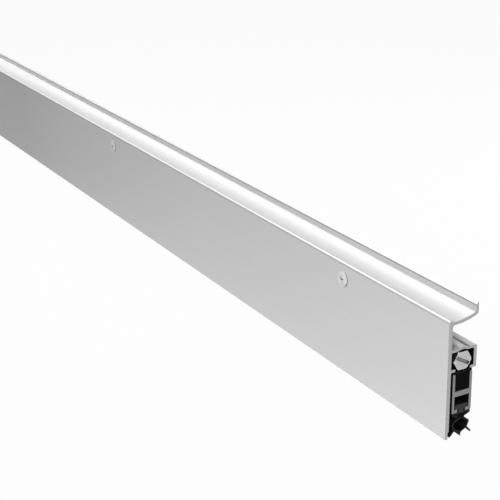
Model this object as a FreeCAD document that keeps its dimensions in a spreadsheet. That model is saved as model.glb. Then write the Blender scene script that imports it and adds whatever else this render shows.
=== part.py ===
import FreeCAD, Part
import math
import os
from types import SimpleNamespace

import Sketcher

# Automatic door bottom seal for the face of a door.
# X runs along the door, with the plunger at the +X end. Y points at the door, whose face is at Y = 0.
# Z is up, and Z = 0 is the height of the plunger's axis. Sizes are in millimetres.

Vector = FreeCAD.Vector

SIZES = (
    # Case: one extrusion of fascia, coved arm, lip, arched channel and hooks
    ("case_length", 742.0),
    ("fascia_thick", 2.1),
    ("front_height", 58.4),
    ("crest_radius", 1.15),
    ("axis_height", 38.4),
    ("edge_round", 0.3),
    ("rebate_height", 3.8),
    ("rebate_depth", 0.55),
    ("arm_radius", 28.2),
    ("arm_thick", 1.65),
    ("arm_low_depth", 3.4),
    ("arm_rise", 0.17),
    ("arm_fillet", 1.2),
    ("lip_thick", 1.3),
    ("lip_height", 5.05),
    ("lip_bevel", 1.85),
    ("lip_chamfer", 0.7),
    ("back_wall", 1.6),
    ("roof_thick", 1.15),
    ("arch_rise", 0.65),
    ("arch_thick", 1.5),
    ("hook_drop", 3.5),
    ("hook_thick", 1.3),
    ("hook_relief", 0.4),
    ("hook_round", 0.5),
    # Adjusting plunger and what holds it
    ("hex_across", 8.8),
    ("hex_side_clearance", 1.19),
    ("hex_arch_clearance", 0.52),
    ("hex_turn_clearance", 0.15),
    ("hex_length", 9.0),
    ("hex_chamfer", 0.35),
    ("plunger_stand", 0.1),
    ("drive_slot_width", 1.7),
    ("drive_slot_length", 7.2),
    ("drive_slot_depth", 0.8),
    ("drive_slot_round", 0.6),
    ("drive_slot_angle", 30.0),
    ("thread_radius", 2.95),
    ("thread_length", 25.0),
    ("thread_clearance", 0.05),
    ("collar_length", 6.0),
    ("collar_clearance", 0.15),
    ("clip_thick", 0.8),
    ("clip_radius", 4.0),
    ("clip_groove_depth", 0.75),
    ("clip_mouth", 3.0),
    ("end_play", 0.1),
    ("nut_gap", 0.9),
    ("nut_length", 26.0),
    ("nut_side_clearance", 0.25),
    ("tongue_length", 12.0),
    ("tongue_clearance", 0.05),
    # Push rod
    ("rod_width", 7.0),
    ("rod_height", 4.5),
    ("rod_wall", 1.2),
    ("rod_round", 0.6),
    ("rod_roof_gap", 0.35),
    ("rod_side_gap", 0.1),
    ("rod_pin_rise", 1.25),
    ("pin_radius", 1.0),
    ("pin_clearance", 0.05),
    # Bell cranks
    ("push_travel", 8.0),
    ("drop_travel", 12.0),
    ("crank_inset", 131.0),
    ("crank_thick", 3.2),
    ("crank_side_gap", 0.3),
    ("crank_hub", 3.2),
    ("fork_half", 2.3),
    ("fork_clearance", 0.2),
    ("fork_lead", 0.3),
    ("fork_round", 0.8),
    ("fork_cover", 0.95),
    ("crank_fillet", 4.0),
    # Bearing blocks
    ("block_side_clearance", 0.12),
    ("block_roof_clearance", 0.1),
    ("block_rear_wall", 6.5),
    ("block_fore_wall", 7.5),
    ("crank_sweep_gap", 0.6),
    ("cheek_drop", 2.9),
    ("cheek_fore", 4.2),
    ("cheek_round", 2.0),
    ("cheek_rear", 8.2),
    ("leg_length", 2.2),
    ("leg_gap", 0.5),
    ("cheek_bar_gap", 0.3),
    # Screws that hold the blocks
    ("block_screw_radius", 1.25),
    ("block_screw_head", 2.3),
    ("block_screw_length", 5.5),
    ("block_screw_drop", 1.7),
    ("block_screw_clearance", 0.05),
    # Hangers
    ("hanger_half", 3.0),
    ("hanger_guide_gap", 0.3),
    ("hanger_side_gap", 0.2),
    ("hanger_base", 1.2),
    ("hanger_pin_cover", 1.65),
    ("hanger_rod_gap", 0.45),
    ("hanger_chamfer", 1.0),
    ("rivet_radius", 1.2),
    ("rivet_head", 1.75),
    ("rivet_head_height", 0.8),
    # Return spring, its seat and its stop
    ("seat_thick", 3.0),
    ("seat_gap", 0.3),
    ("seat_tongue", 5.8),
    ("seat_pin_inset", 2.8),
    ("spring_length", 30.0),
    ("spring_outside", 7.2),
    ("spring_wire", 0.9),
    ("spring_turns", 8.0),
    ("spigot_radius", 2.3),
    ("spigot_length", 6.0),
    ("stop_length", 12.0),
    # Drop bar: an H-shaped extrusion with a slot for the gasket below
    ("bar_offset", 0.43),
    ("bar_width", 10.9),
    ("bar_wall", 1.35),
    ("bar_top_gap", 1.5),
    ("web_depth", 8.75),
    ("web_thick", 2.6),
    ("chamber_height", 6.65),
    ("foot_thick", 1.6),
    ("gasket_slot", 4.4),
    ("plug_length", 18.0),
    ("plug_inset", 0.15),
    ("plug_top_gap", 0.5),
    ("plug_chamfer", 0.5),
    ("plug_cap_gap", 0.3),
    ("plug_cap_inset", 0.2),
    # Gasket
    ("gasket_head_width", 7.2),
    ("gasket_head_height", 2.3),
    ("gasket_stem_gap", 0.45),
    ("gasket_base_gap", 0.1),
    ("gasket_base_width", 10.4),
    ("gasket_base_thick", 1.4),
    ("gasket_neck_drop", 3.5),
    ("gasket_neck_width", 3.8),
    ("gasket_waist", 2.3),
    ("bulb_radius", 4.9),
    ("bulb_shoulder", 0.5),
    ("bulb_wall", 0.75),
    ("bulb_throat", 1.2),
    ("side_fin_angle", 43.0),
    ("side_fin_root", 3.3),
    ("side_fin_length", 4.2),
    ("side_fin_thick", 1.0),
    ("centre_fin_length", 1.35),
    ("centre_fin_root", 1.5),
    # Fixing screws
    ("screw_inset", 85.5),
    ("screw_drop", 0.65),
    ("screw_head", 4.2),
    ("screw_dome", 1.3),
    ("screw_recess", 0.2),
    ("screw_radius", 2.0),
    ("screw_hole_clearance", 0.4),
    ("screw_length", 25.0),
    ("screw_point", 3.0),
    ("cross_length", 4.4),
    ("cross_width", 1.0),
    ("cross_depth", 1.2),
)


class Size:
    """A size of the sheet, or one worked out from others: the expression that binds it, and its value."""

    def __init__(self, text, value):
        self.text = text
        self.value = value

    def __add__(self, other):
        other = size(other)
        return Size("(%s + %s)" % (self.text, other.text), self.value + other.value)

    def __sub__(self, other):
        other = size(other)
        return Size("(%s - %s)" % (self.text, other.text), self.value - other.value)

    def __mul__(self, other):
        other = size(other)
        return Size("(%s * %s)" % (self.text, other.text), self.value * other.value)

    def __truediv__(self, other):
        other = size(other)
        return Size("(%s / %s)" % (self.text, other.text), self.value / other.value)

    def __neg__(self):
        return Size("(0 - %s)" % self.text, -self.value)


def size(value):
    """A plain number as a Size. A Size stays as it is."""
    if isinstance(value, Size):
        return value
    return Size(repr(float(value)), float(value))


def root(value):
    return Size("sqrt(%s)" % value.text, math.sqrt(value.value))


def side(longest, other):
    """The third side of a right-angled triangle, from its longest side and another."""
    return root(longest * longest - other * other)


def diagonal(one, other):
    return root(one * one + other * other)


def sine(angle):
    return Size("sin(%s)" % angle.text, math.sin(math.radians(angle.value)))


def cosine(angle):
    return Size("cos(%s)" % angle.text, math.cos(math.radians(angle.value)))


def steepness(rise, run):
    """The angle in degrees of a slope."""
    return Size("atan(%s / %s)" % (rise.text, run.text), math.degrees(math.atan(rise.value / run.value)))


ZERO = size(0)

doc = FreeCAD.newDocument("door_bottom_seal")
sheet = doc.addObject("Spreadsheet::Sheet", "Sizes")
for row, (alias, number) in enumerate(SIZES, start=1):
    sheet.set("A%d" % row, alias)
    sheet.set("B%d" % row, str(number))
    sheet.setAlias("B%d" % row, alias)
doc.recompute()

S = SimpleNamespace(**{alias: Size("Sizes." + alias, float(sheet.get(alias))) for alias, number in SIZES})


# Sketches: each corner of an outline is bound to the sheet, and so is each round edge between corners

LEFT = 1
RIGHT = -1


def corner(x, y, fillet=None, bend=None):
    """A corner of an outline. A fillet rounds it, and a bend makes the edge that leaves it an arc."""
    return SimpleNamespace(x=size(x), y=size(y), fillet=fillet, bend=bend)


def bend(radius, turn, large=False):
    """An arc that turns to the left or right of the way the outline runs."""
    return SimpleNamespace(radius=radius, turn=turn, large=large)


def box(x0, y0, x1, y1):
    return [corner(x0, y0), corner(x1, y0), corner(x1, y1), corner(x0, y1)]


def bind(item, name, value):
    item.setExpression(name, value.text)


def constrain(sketch, kind, places, value):
    index = sketch.addConstraint(Sketcher.Constraint(kind, *places, value.value))
    sketch.setExpression("Constraints[%d]" % index, value.text)


def pin_down(sketch, geometry, end, x, y):
    constrain(sketch, "DistanceX", (geometry, end), x)
    constrain(sketch, "DistanceY", (geometry, end), y)


def arc_between(start, finish, radius, turn, large):
    """The arc from start to finish, with the numbers of its ends as a sketch counts them."""
    chord = finish - start
    half = chord.Length / 2
    rise = math.sqrt(max(radius * radius - half * half, 0.0))
    left = Vector(-chord.y, chord.x, 0).normalize()
    centre = (start + finish) / 2 + left * (rise * turn * (-1 if large else 1))
    first, last = (start, finish) if turn == LEFT else (finish, start)
    angles = [math.atan2(p.y - centre.y, p.x - centre.x) for p in (first, last)]
    if angles[1] <= angles[0]:
        angles[1] += 2 * math.pi
    arc = Part.ArcOfCircle(Part.Circle(centre, Vector(0, 0, 1), radius), *angles)
    return arc, (1, 2) if turn == LEFT else (2, 1)


def fillet_ends(before, here, after, fillet):
    """Where a rounded corner's arc starts and ends, and which way it turns."""
    if fillet is None:
        return here, here, LEFT
    back = (before - here).normalize()
    ahead = (after - here).normalize()
    half_angle = math.acos(max(-1.0, min(1.0, back.dot(ahead)))) / 2
    reach = fillet.value / math.tan(half_angle)
    turn = LEFT if back.cross(ahead).z < 0 else RIGHT
    return here + back * reach, here + ahead * reach, turn


def draw_outline(sketch, corners):
    count = len(corners)
    points = [Vector(c.x.value, c.y.value, 0) for c in corners]
    ends = []
    for i, c in enumerate(corners):
        ends.append(fillet_ends(points[i - 1], points[i], points[(i + 1) % count], c.fillet))
    edges = []
    for i, c in enumerate(corners):
        start = ends[i][1]
        finish = ends[(i + 1) % count][0]
        if c.bend is None:
            edges.append((sketch.addGeometry(Part.LineSegment(start, finish), False), (1, 2)))
        else:
            arc, order = arc_between(start, finish, c.bend.radius.value, c.bend.turn, c.bend.large)
            edges.append((sketch.addGeometry(arc, False), order))
            constrain(sketch, "Radius", (edges[-1][0],), c.bend.radius)
    for i, c in enumerate(corners):
        before, (_, before_end) = edges[i - 1]
        after, (after_start, _) = edges[i]
        if c.fillet is None:
            sketch.addConstraint(Sketcher.Constraint("Coincident", before, before_end, after, after_start))
            pin_down(sketch, after, after_start, c.x, c.y)
            continue
        start, finish, turn = ends[i]
        arc, order = arc_between(start, finish, c.fillet.value, turn, False)
        rounding = sketch.addGeometry(arc, False)
        point = sketch.addGeometry(Part.Point(points[i]), True)
        pin_down(sketch, point, 1, c.x, c.y)
        sketch.addConstraint(Sketcher.Constraint("PointOnObject", point, 1, before))
        sketch.addConstraint(Sketcher.Constraint("PointOnObject", point, 1, after))
        sketch.addConstraint(Sketcher.Constraint("Tangent", before, before_end, rounding, order[0]))
        sketch.addConstraint(Sketcher.Constraint("Tangent", rounding, order[1], after, after_start))
        constrain(sketch, "Radius", (rounding,), c.fillet)


def draw(body, role, outlines=(), circles=(), offset=(ZERO, ZERO, ZERO)):
    """A sketch on one of the body's origin planes, moved by offset along its own x, y and normal."""
    plane = [item for item in body.Origin.OriginFeatures if item.Role == role][0]
    sketch = body.newObject("Sketcher::SketchObject", body.Name + "_sketch")
    sketch.AttachmentSupport = [(plane, "")]
    sketch.MapMode = "FlatFace"
    for letter, shift in zip("xyz", offset):
        bind(sketch, "AttachmentOffset.Base." + letter, shift)
    for corners in outlines:
        draw_outline(sketch, corners)
    for x, y, radius in circles:
        circle = Part.Circle(Vector(x.value, y.value, 0), Vector(0, 0, 1), radius.value)
        index = sketch.addGeometry(circle, False)
        pin_down(sketch, index, 3, x, y)
        constrain(sketch, "Radius", (index,), radius)
    return sketch


# Features

SECTION = "YZ_Plane"
SIDE = "XZ_Plane"
PLAN = "XY_Plane"


def new_body(name):
    body = doc.addObject("PartDesign::Body", name)
    body.Label = name
    return body


def pad(body, sketch, length, middle=True):
    feature = body.newObject("PartDesign::Pad", body.Name + "_pad")
    feature.Profile = sketch
    bind(feature, "Length", length)
    feature.SideType = "Symmetric" if middle else "One side"
    return feature


def turned(body, sketch):
    """A solid turned about the sketch's own horizontal axis."""
    feature = body.newObject("PartDesign::Revolution", body.Name + "_turned")
    feature.Profile = sketch
    feature.ReferenceAxis = (sketch, ["H_Axis"])
    feature.Angle = 360
    return feature


def checked_cut(body, feature, before):
    doc.recompute()
    if feature.Shape.isNull() or feature.Shape.Volume > before - 1e-3:
        raise ValueError("a cut in %s removes nothing" % body.Label)
    return feature


def volume_so_far(body):
    doc.recompute()
    return body.Shape.Volume


def cut(body, sketch, length):
    """A pocket that reaches half its length to each side of the sketch."""
    before = volume_so_far(body)
    feature = body.newObject("PartDesign::Pocket", body.Name + "_pocket")
    feature.Profile = sketch
    feature.SideType = "Symmetric"
    bind(feature, "Length", length)
    return checked_cut(body, feature, before)


def turned_cut(body, sketch):
    before = volume_so_far(body)
    feature = body.newObject("PartDesign::Groove", body.Name + "_groove")
    feature.Profile = sketch
    feature.ReferenceAxis = (sketch, ["H_Axis"])
    feature.Angle = 360
    return checked_cut(body, feature, before)


def place(item, x=ZERO, y=ZERO, z=ZERO):
    for letter, value in (("x", x), ("y", y), ("z", z)):
        bind(item, "Placement.Base." + letter, value)
    return item


def cross_pin(name, radius, length, x, y, z):
    """A plain pin that lies along Y, with its middle at x, y, z."""
    item = doc.addObject("Part::Cylinder", name)
    item.Label = name
    bind(item, "Radius", radius)
    bind(item, "Height", length)
    item.Placement = FreeCAD.Placement(Vector(0, 0, 0), FreeCAD.Rotation(Vector(1, 0, 0), -90))
    return place(item, x, y - length / 2, z)


def group(name, items):
    item = doc.addObject("Part::Compound", name)
    item.Label = name
    item.Links = items
    return item


parts = []


# Places that several pieces share

half_length = S.case_length / 2
hex_corner = S.hex_across / root(size(3))
cavity_half = hex_corner + S.hex_side_clearance
back_inner = -S.back_wall
axis_y = back_inner - cavity_half
fascia_inner = axis_y - cavity_half
front = fascia_inner - S.fascia_thick
bottom = -S.axis_height

arch_radius = hex_corner + S.hex_arch_clearance
ceiling = arch_radius - S.arch_rise
roof_top = ceiling + S.roof_thick
hook_top = -S.hook_drop
hook_bottom = hook_top - S.hook_thick
hook_reach = side(hex_corner + S.hex_turn_clearance, S.hook_drop)

rod_top = ceiling - S.rod_roof_gap
rod_bottom = rod_top - S.rod_height
rod_inner_top = rod_top - S.rod_wall
rod_inner_half = S.rod_width / 2 - S.rod_wall
rod_pin_z = rod_bottom + S.rod_pin_rise
groove_floor = rod_bottom - S.rod_side_gap

# The crank turns as far above level as below it. Its forks slide on pins that keep to straight lines,
# so rod and bar move in the ratio of the two arms.
swing_rise = S.drop_travel / 2
hanger_pin_z = rod_bottom - S.hanger_rod_gap - S.hanger_pin_cover
pivot_z = hanger_pin_z - swing_rise
rod_arm = rod_pin_z - pivot_z
bar_arm = rod_arm * S.drop_travel / S.push_travel
swing = steepness(swing_rise, bar_arm)
crank_x = half_length - S.crank_inset

bar_y = axis_y + S.bar_offset
bar_half = S.bar_width / 2
bar_inner_half = bar_half - S.bar_wall
bar_top = hook_bottom - S.bar_top_gap
web_top = bar_top - S.web_depth
web_bottom = web_top - S.web_thick
foot_top = web_bottom - S.chamber_height
foot_bottom = foot_top - S.foot_thick

cheek_half = bar_inner_half - S.bar_offset - S.cheek_bar_gap
crank_gap_half = S.crank_thick / 2 + S.crank_side_gap
hanger_outer_half = cheek_half - S.hanger_side_gap

block_rear_slot = bar_arm + S.hanger_half + S.hanger_guide_gap
block_rear = block_rear_slot + S.block_rear_wall
swing_slope = swing_rise / bar_arm
swing_cosine = bar_arm / diagonal(bar_arm, swing_rise)
block_fore_slot = (groove_floor - pivot_z) * swing_slope + S.fork_half / swing_cosine + S.crank_sweep_gap
block_fore = block_fore_slot + S.block_fore_wall
block_half = cavity_half - S.block_side_clearance
block_bottom = hook_top + S.rod_side_gap / 2
block_top = ceiling - S.block_roof_clearance
block_screw_z = -S.block_screw_drop

plunger_face = half_length + S.plunger_stand
nut_front = -(S.hex_length + S.collar_length + S.end_play * 2 + S.clip_thick + S.end_play + S.nut_gap)
nut_back = nut_front - S.nut_length
nut_half = cavity_half - S.nut_side_clearance
seat_face = -(crank_x + block_rear + S.seat_gap)
seat_back = seat_face - S.seat_thick
stop_face = seat_back - S.spring_length
spring_z = (hook_top + ceiling) / 2

fore_screw = block_fore_slot + S.block_fore_wall / 2
block_screw_places = [crank_x + fore_screw, -crank_x + fore_screw, stop_face - S.stop_length / 2]


# Case. The fascia is the plate that shows. The arm rises from its rounded crest to the lip, which
# meets the door, and the channel behind it carries the mechanism between its arch and its hooks.

def arm_height(depth, drop=ZERO):
    """Height of the arm's upper face, or of the face a thickness below it, at a depth behind the front."""
    radius = S.arm_radius + drop
    low = front_top + S.arm_rise
    return low + S.arm_radius - side(radius, depth - S.arm_low_depth)


front_top = S.front_height + bottom
depth_of_case = -front
crest_back = S.crest_radius * 2 - S.edge_round / 2
lip_inner = depth_of_case - S.lip_thick
under_arm = S.fascia_thick + S.arm_fillet
rebate_top = bottom + S.rebate_height
arch_foot = side(arch_radius, ceiling)
arch_outer = arch_radius + S.arch_thick
arch_outer_foot = side(arch_outer, roof_top)
lip_top = arm_height(lip_inner) + S.lip_height
lip_corner = arm_height(depth_of_case - S.lip_chamfer, S.arm_thick)
arm_meets_fascia = arm_height(under_arm, S.arm_thick)
back_hook = axis_y + hook_reach + S.hook_relief
front_hook = axis_y - hook_reach

case = new_body("case")
case_outline = [
    corner(front, bottom, S.edge_round),
    corner(front, front_top, bend=bend(S.crest_radius, RIGHT)),
    corner(front + crest_back, arm_height(crest_back), bend=bend(S.arm_radius, LEFT)),
    corner(front + lip_inner, arm_height(lip_inner)),
    corner(front + lip_inner, lip_top - S.lip_bevel, S.edge_round),
    corner(ZERO, lip_top, S.edge_round),
    corner(ZERO, lip_corner + S.lip_chamfer),
    corner(-S.lip_chamfer, lip_corner, bend=bend(S.arm_radius + S.arm_thick, RIGHT)),
    corner(front + under_arm, arm_meets_fascia, bend=bend(S.arm_fillet, LEFT)),
    corner(fascia_inner, arm_meets_fascia - S.arm_fillet),
    corner(fascia_inner, roof_top, S.edge_round),
    corner(axis_y - arch_outer_foot, roof_top, bend=bend(arch_outer, RIGHT)),
    corner(axis_y + arch_outer_foot, roof_top),
    corner(ZERO, roof_top, S.hook_round),
    corner(ZERO, hook_bottom, S.hook_round),
    corner(back_hook, hook_bottom, S.hook_round),
    corner(back_hook, hook_top, S.hook_round),
    corner(back_inner, hook_top),
    corner(back_inner, ceiling),
    corner(axis_y + arch_foot, ceiling, bend=bend(arch_radius, LEFT)),
    corner(axis_y - arch_foot, ceiling),
    corner(fascia_inner, ceiling),
    corner(fascia_inner, hook_top),
    corner(front_hook, hook_top, S.hook_round),
    corner(front_hook, hook_bottom, S.hook_round),
    corner(fascia_inner, hook_bottom, S.hook_round),
    corner(fascia_inner, rebate_top),
    corner(fascia_inner - S.rebate_depth, rebate_top - S.rebate_depth),
    corner(fascia_inner - S.rebate_depth, bottom),
]
pad(case, draw(case, SECTION, [case_outline]), S.case_length)


def sunk_profile(head, radius, length, way):
    """Half the section of a countersunk screw or hole along its axis, from its head at 0."""
    return [
        corner(0, 0),
        corner(0, head),
        corner((head - radius) * way, radius),
        corner(length * way, radius),
        corner(length * way, 0),
    ]


screw_rim = S.screw_head + S.screw_recess
screw_hole = S.screw_radius + S.screw_hole_clearance
block_screw_hole = S.block_screw_radius + S.block_screw_clearance
outer_screw = half_length - S.screw_inset
screw_places = [-outer_screw, ZERO, outer_screw]
screw_z = (arch_outer + front_top + S.arm_rise - S.arm_thick) / 2 - S.screw_drop
for place_x in screw_places:
    hole = sunk_profile(screw_rim, screw_hole, S.fascia_thick * 1.5, 1)
    turned_cut(case, draw(case, SECTION, [hole], offset=(front, screw_z, place_x)))
for place_x in block_screw_places:
    hole = sunk_profile(S.block_screw_head, block_screw_hole, S.back_wall * 1.5, -1)
    turned_cut(case, draw(case, SECTION, [hole], offset=(ZERO, block_screw_z, place_x)))
parts.append(case)


# Fixing screws: wood screws with a raised countersunk head and a cross recess, in the fascia's three holes

def fixing_screw(index, x):
    screw = new_body("fixing_screw_%d" % index)
    straight = S.screw_length - S.screw_point
    dome_radius = (S.screw_head * S.screw_head + S.screw_dome * S.screw_dome) / (S.screw_dome * 2)
    profile = sunk_profile(S.screw_head, S.screw_radius, straight, 1)
    profile[0] = corner(-S.screw_dome, 0, bend=bend(dome_radius, RIGHT))
    profile[-1] = corner(S.screw_length, 0)
    turned(screw, draw(screw, SECTION, [profile]))
    long_half = S.cross_length / 2
    wide_half = S.cross_width / 2
    cross = [
        corner(long_half, wide_half),
        corner(wide_half, wide_half),
        corner(wide_half, long_half),
        corner(-wide_half, long_half),
        corner(-wide_half, wide_half),
        corner(-long_half, wide_half),
        corner(-long_half, -wide_half),
        corner(-wide_half, -wide_half),
        corner(-wide_half, -long_half),
        corner(wide_half, -long_half),
        corner(wide_half, -wide_half),
        corner(long_half, -wide_half),
    ]
    cut(screw, draw(screw, SIDE, [cross]), S.cross_depth * 2)
    return place(screw, x, front + S.screw_recess, screw_z)


parts.append(group("fixing_screws", [fixing_screw(i, x) for i, x in enumerate(screw_places)]))


# Adjusting plunger: a hexagonal head that the door frame presses, on a threaded shank

def hexagon(across):
    reach = across / root(size(3))
    return [corner(reach * cosine(size(60 * i)), reach * sine(size(60 * i))) for i in range(6)]


plunger = new_body("adjusting_plunger")
head_sketch = draw(plunger, SECTION, [hexagon(S.hex_across)], offset=(ZERO, ZERO, -S.hex_length))
pad(plunger, head_sketch, S.hex_length, middle=False)
groove_near = S.hex_length + S.collar_length + S.end_play * 2
groove_far = groove_near + S.clip_thick + S.end_play
shank_end = groove_far + S.thread_length
groove_radius = S.thread_radius - S.clip_groove_depth
shank_profile = [
    corner(-S.hex_length / 2, 0),
    corner(-shank_end, 0),
    corner(-shank_end, groove_radius),
    corner(-shank_end + S.clip_groove_depth, S.thread_radius),
    corner(-groove_far, S.thread_radius),
    corner(-groove_far, groove_radius),
    corner(-groove_near, groove_radius),
    corner(-groove_near, S.thread_radius),
    corner(-S.hex_length / 2, S.thread_radius),
]
turned(plunger, draw(plunger, SIDE, [shank_profile]))
# The head's corners are turned off a little at the face, as on a bar-turned part
chamfer_profile = [
    corner(0, hex_corner - S.hex_chamfer),
    corner(0, hex_corner + S.hex_chamfer),
    corner(-S.hex_chamfer * 2, hex_corner + S.hex_chamfer),
    corner(-S.hex_chamfer, hex_corner),
]
turned_cut(plunger, draw(plunger, SIDE, [chamfer_profile]))


def drive_slot():
    """The screwdriver slot in the head's face, closed at both ends and tilted from the level."""
    along = S.drive_slot_length / 2
    half = S.drive_slot_width / 2
    dip = S.drive_slot_angle
    ends = ((-1, -1), (1, -1), (1, 1), (-1, 1))
    return [
        corner(
            along * a * cosine(dip) + half * b * sine(dip),
            half * b * cosine(dip) - along * a * sine(dip),
            S.drive_slot_round,
        )
        for a, b in ends
    ]


cut(plunger, draw(plunger, SECTION, [drive_slot()]), S.drive_slot_depth * 2)
parts.append(place(plunger, plunger_face, axis_y, ZERO))


# Guide collar: moulded to the channel's shape, it carries the plunger behind its head

collar = new_body("plunger_collar")
collar_half = cavity_half - S.collar_clearance
collar_top = ceiling - S.collar_clearance
collar_bottom = hook_top + S.collar_clearance
collar_arch = arch_radius - S.collar_clearance
collar_foot = side(collar_arch, collar_top)
collar_outline = [
    corner(-collar_half, collar_bottom, S.edge_round),
    corner(collar_half, collar_bottom, S.edge_round),
    corner(collar_half, collar_top, S.edge_round),
    corner(collar_foot, collar_top, bend=bend(collar_arch, LEFT)),
    corner(-collar_foot, collar_top),
    corner(-collar_half, collar_top, S.edge_round),
]
collar_x = plunger_face - S.hex_length - S.end_play - S.collar_length
collar_bore = (ZERO, ZERO, S.thread_radius + S.thread_clearance)
pad(collar, draw(collar, SECTION, [collar_outline], [collar_bore]), S.collar_length, middle=False)
parts.append(place(collar, collar_x, axis_y, ZERO))


# Retaining clip: an open ring in the groove behind the collar

clip = new_body("retaining_clip")
mouth = S.clip_mouth / 2
clip_outline = [
    corner(side(S.clip_radius, mouth), -mouth),
    corner(side(groove_radius, mouth), -mouth, bend=bend(groove_radius, RIGHT, large=True)),
    corner(side(groove_radius, mouth), mouth),
    corner(side(S.clip_radius, mouth), mouth, bend=bend(S.clip_radius, LEFT, large=True)),
]
pad(clip, draw(clip, SECTION, [clip_outline]), S.clip_thick, middle=False)
parts.append(place(clip, plunger_face - groove_far + S.end_play / 2, axis_y, ZERO))


# Nut block: the plunger's shank screws into it, and its tongue is riveted inside the push rod

def rod_tongue(body, start, length):
    half = rod_inner_half - S.tongue_clearance
    outline = box(-half, rod_bottom, half, rod_inner_top - S.tongue_clearance)
    pad(body, draw(body, SECTION, [outline], offset=(ZERO, ZERO, start)), length, middle=False)


nut = new_body("nut_block")
nut_outline = [
    corner(-nut_half, block_bottom, S.rod_round),
    corner(nut_half, block_bottom, S.rod_round),
    corner(nut_half, block_top, S.rod_round),
    corner(-nut_half, block_top, S.rod_round),
]
pad(nut, draw(nut, SECTION, [nut_outline], offset=(ZERO, ZERO, nut_back)), S.nut_length, middle=False)
rod_tongue(nut, nut_back - S.tongue_length, S.tongue_length)
bore_end = -shank_end - S.end_play * 5
nut_bore = draw(nut, SECTION, circles=[collar_bore], offset=(ZERO, ZERO, nut_front))
cut(nut, nut_bore, (nut_front - bore_end) * 2)
nut_rivet_x = plunger_face + nut_back - S.tongue_length / 2
nut_rivet_hole = (nut_back - S.tongue_length / 2, rod_pin_z, S.pin_radius)
cut(nut, draw(nut, SIDE, circles=[nut_rivet_hole]), S.rod_width)
parts.append(place(nut, plunger_face, axis_y, ZERO))


# Push rod: a folded channel, open below, that runs along the top of the case's channel

rod_near = plunger_face + nut_back - S.end_play
rod_pin_places = [crank_x + S.push_travel / 2, -crank_x + S.push_travel / 2]
seat_rivet_x = seat_face + S.seat_pin_inset

rod = new_body("push_rod")
rod_half = S.rod_width / 2
rod_outline = [
    corner(-rod_half, rod_bottom),
    corner(-rod_inner_half, rod_bottom),
    corner(-rod_inner_half, rod_inner_top),
    corner(rod_inner_half, rod_inner_top),
    corner(rod_inner_half, rod_bottom),
    corner(rod_half, rod_bottom),
    corner(rod_half, rod_top, S.rod_round),
    corner(-rod_half, rod_top, S.rod_round),
]
pad(rod, draw(rod, SECTION, [rod_outline], offset=(ZERO, ZERO, seat_face)), rod_near - seat_face, middle=False)
rod_holes = [(x, rod_pin_z, S.pin_radius) for x in rod_pin_places + [nut_rivet_x, seat_rivet_x]]
cut(rod, draw(rod, SIDE, circles=rod_holes), S.rod_width * 2)
parts.append(place(rod, ZERO, axis_y, ZERO))

for name, x in zip(("rod_pin_near", "rod_pin_far"), rod_pin_places):
    parts.append(cross_pin(name, S.pin_radius, S.rod_width, x, axis_y, rod_pin_z))
rod_rivets = [
    cross_pin("rod_rivet_%d" % i, S.pin_radius, S.rod_width, x, axis_y, rod_pin_z)
    for i, x in enumerate((nut_rivet_x, seat_rivet_x))
]
parts.append(group("rod_rivets", rod_rivets))


# Bell cranks. The upper fork rides on the rod's cross pin, and the long fork lifts the hanger's pin.

def bell_crank(name, x):
    crank = new_body(name)
    slot = S.pin_radius + S.fork_clearance
    rod_tip = diagonal(rod_arm, S.push_travel / 2) + S.pin_radius * S.fork_cover
    bar_tip = diagonal(bar_arm, swing_rise) + S.pin_radius * S.fork_cover
    rod_root = rod_arm - S.pin_radius - S.fork_lead
    bar_root = bar_arm - S.pin_radius - S.fork_lead
    half = S.fork_half
    outline = [
        corner(half, -half, S.fork_round),
        corner(half, rod_tip, S.fork_round),
        corner(slot, rod_tip),
        corner(slot, rod_root),
        corner(-slot, rod_root),
        corner(-slot, rod_tip),
        corner(-half, rod_tip, S.fork_round),
        corner(-half, half, S.crank_fillet),
        corner(-bar_tip, half, S.fork_round),
        corner(-bar_tip, slot),
        corner(-bar_root, slot),
        corner(-bar_root, -slot),
        corner(-bar_tip, -slot),
        corner(-bar_tip, -half, S.fork_round),
    ]
    pad(crank, draw(crank, SIDE, [outline]), S.crank_thick)
    pad(crank, draw(crank, SIDE, circles=[(ZERO, ZERO, S.crank_hub)]), S.crank_thick)
    bore = (ZERO, ZERO, S.pin_radius + S.pin_clearance)
    cut(crank, draw(crank, SIDE, circles=[bore]), S.crank_thick * 2)
    crank.Placement = FreeCAD.Placement(Vector(0, 0, 0), FreeCAD.Rotation(Vector(0, 1, 0), swing.value))
    bind(crank, "Placement.Rotation.Angle", swing)
    return place(crank, x, axis_y, pivot_z)


# Bearing blocks: each fills the channel round the rod and reaches down with two cheeks. They hold
# the crank's pivot, and their legs guide the hanger, which keeps the drop bar from moving endways.

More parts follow.
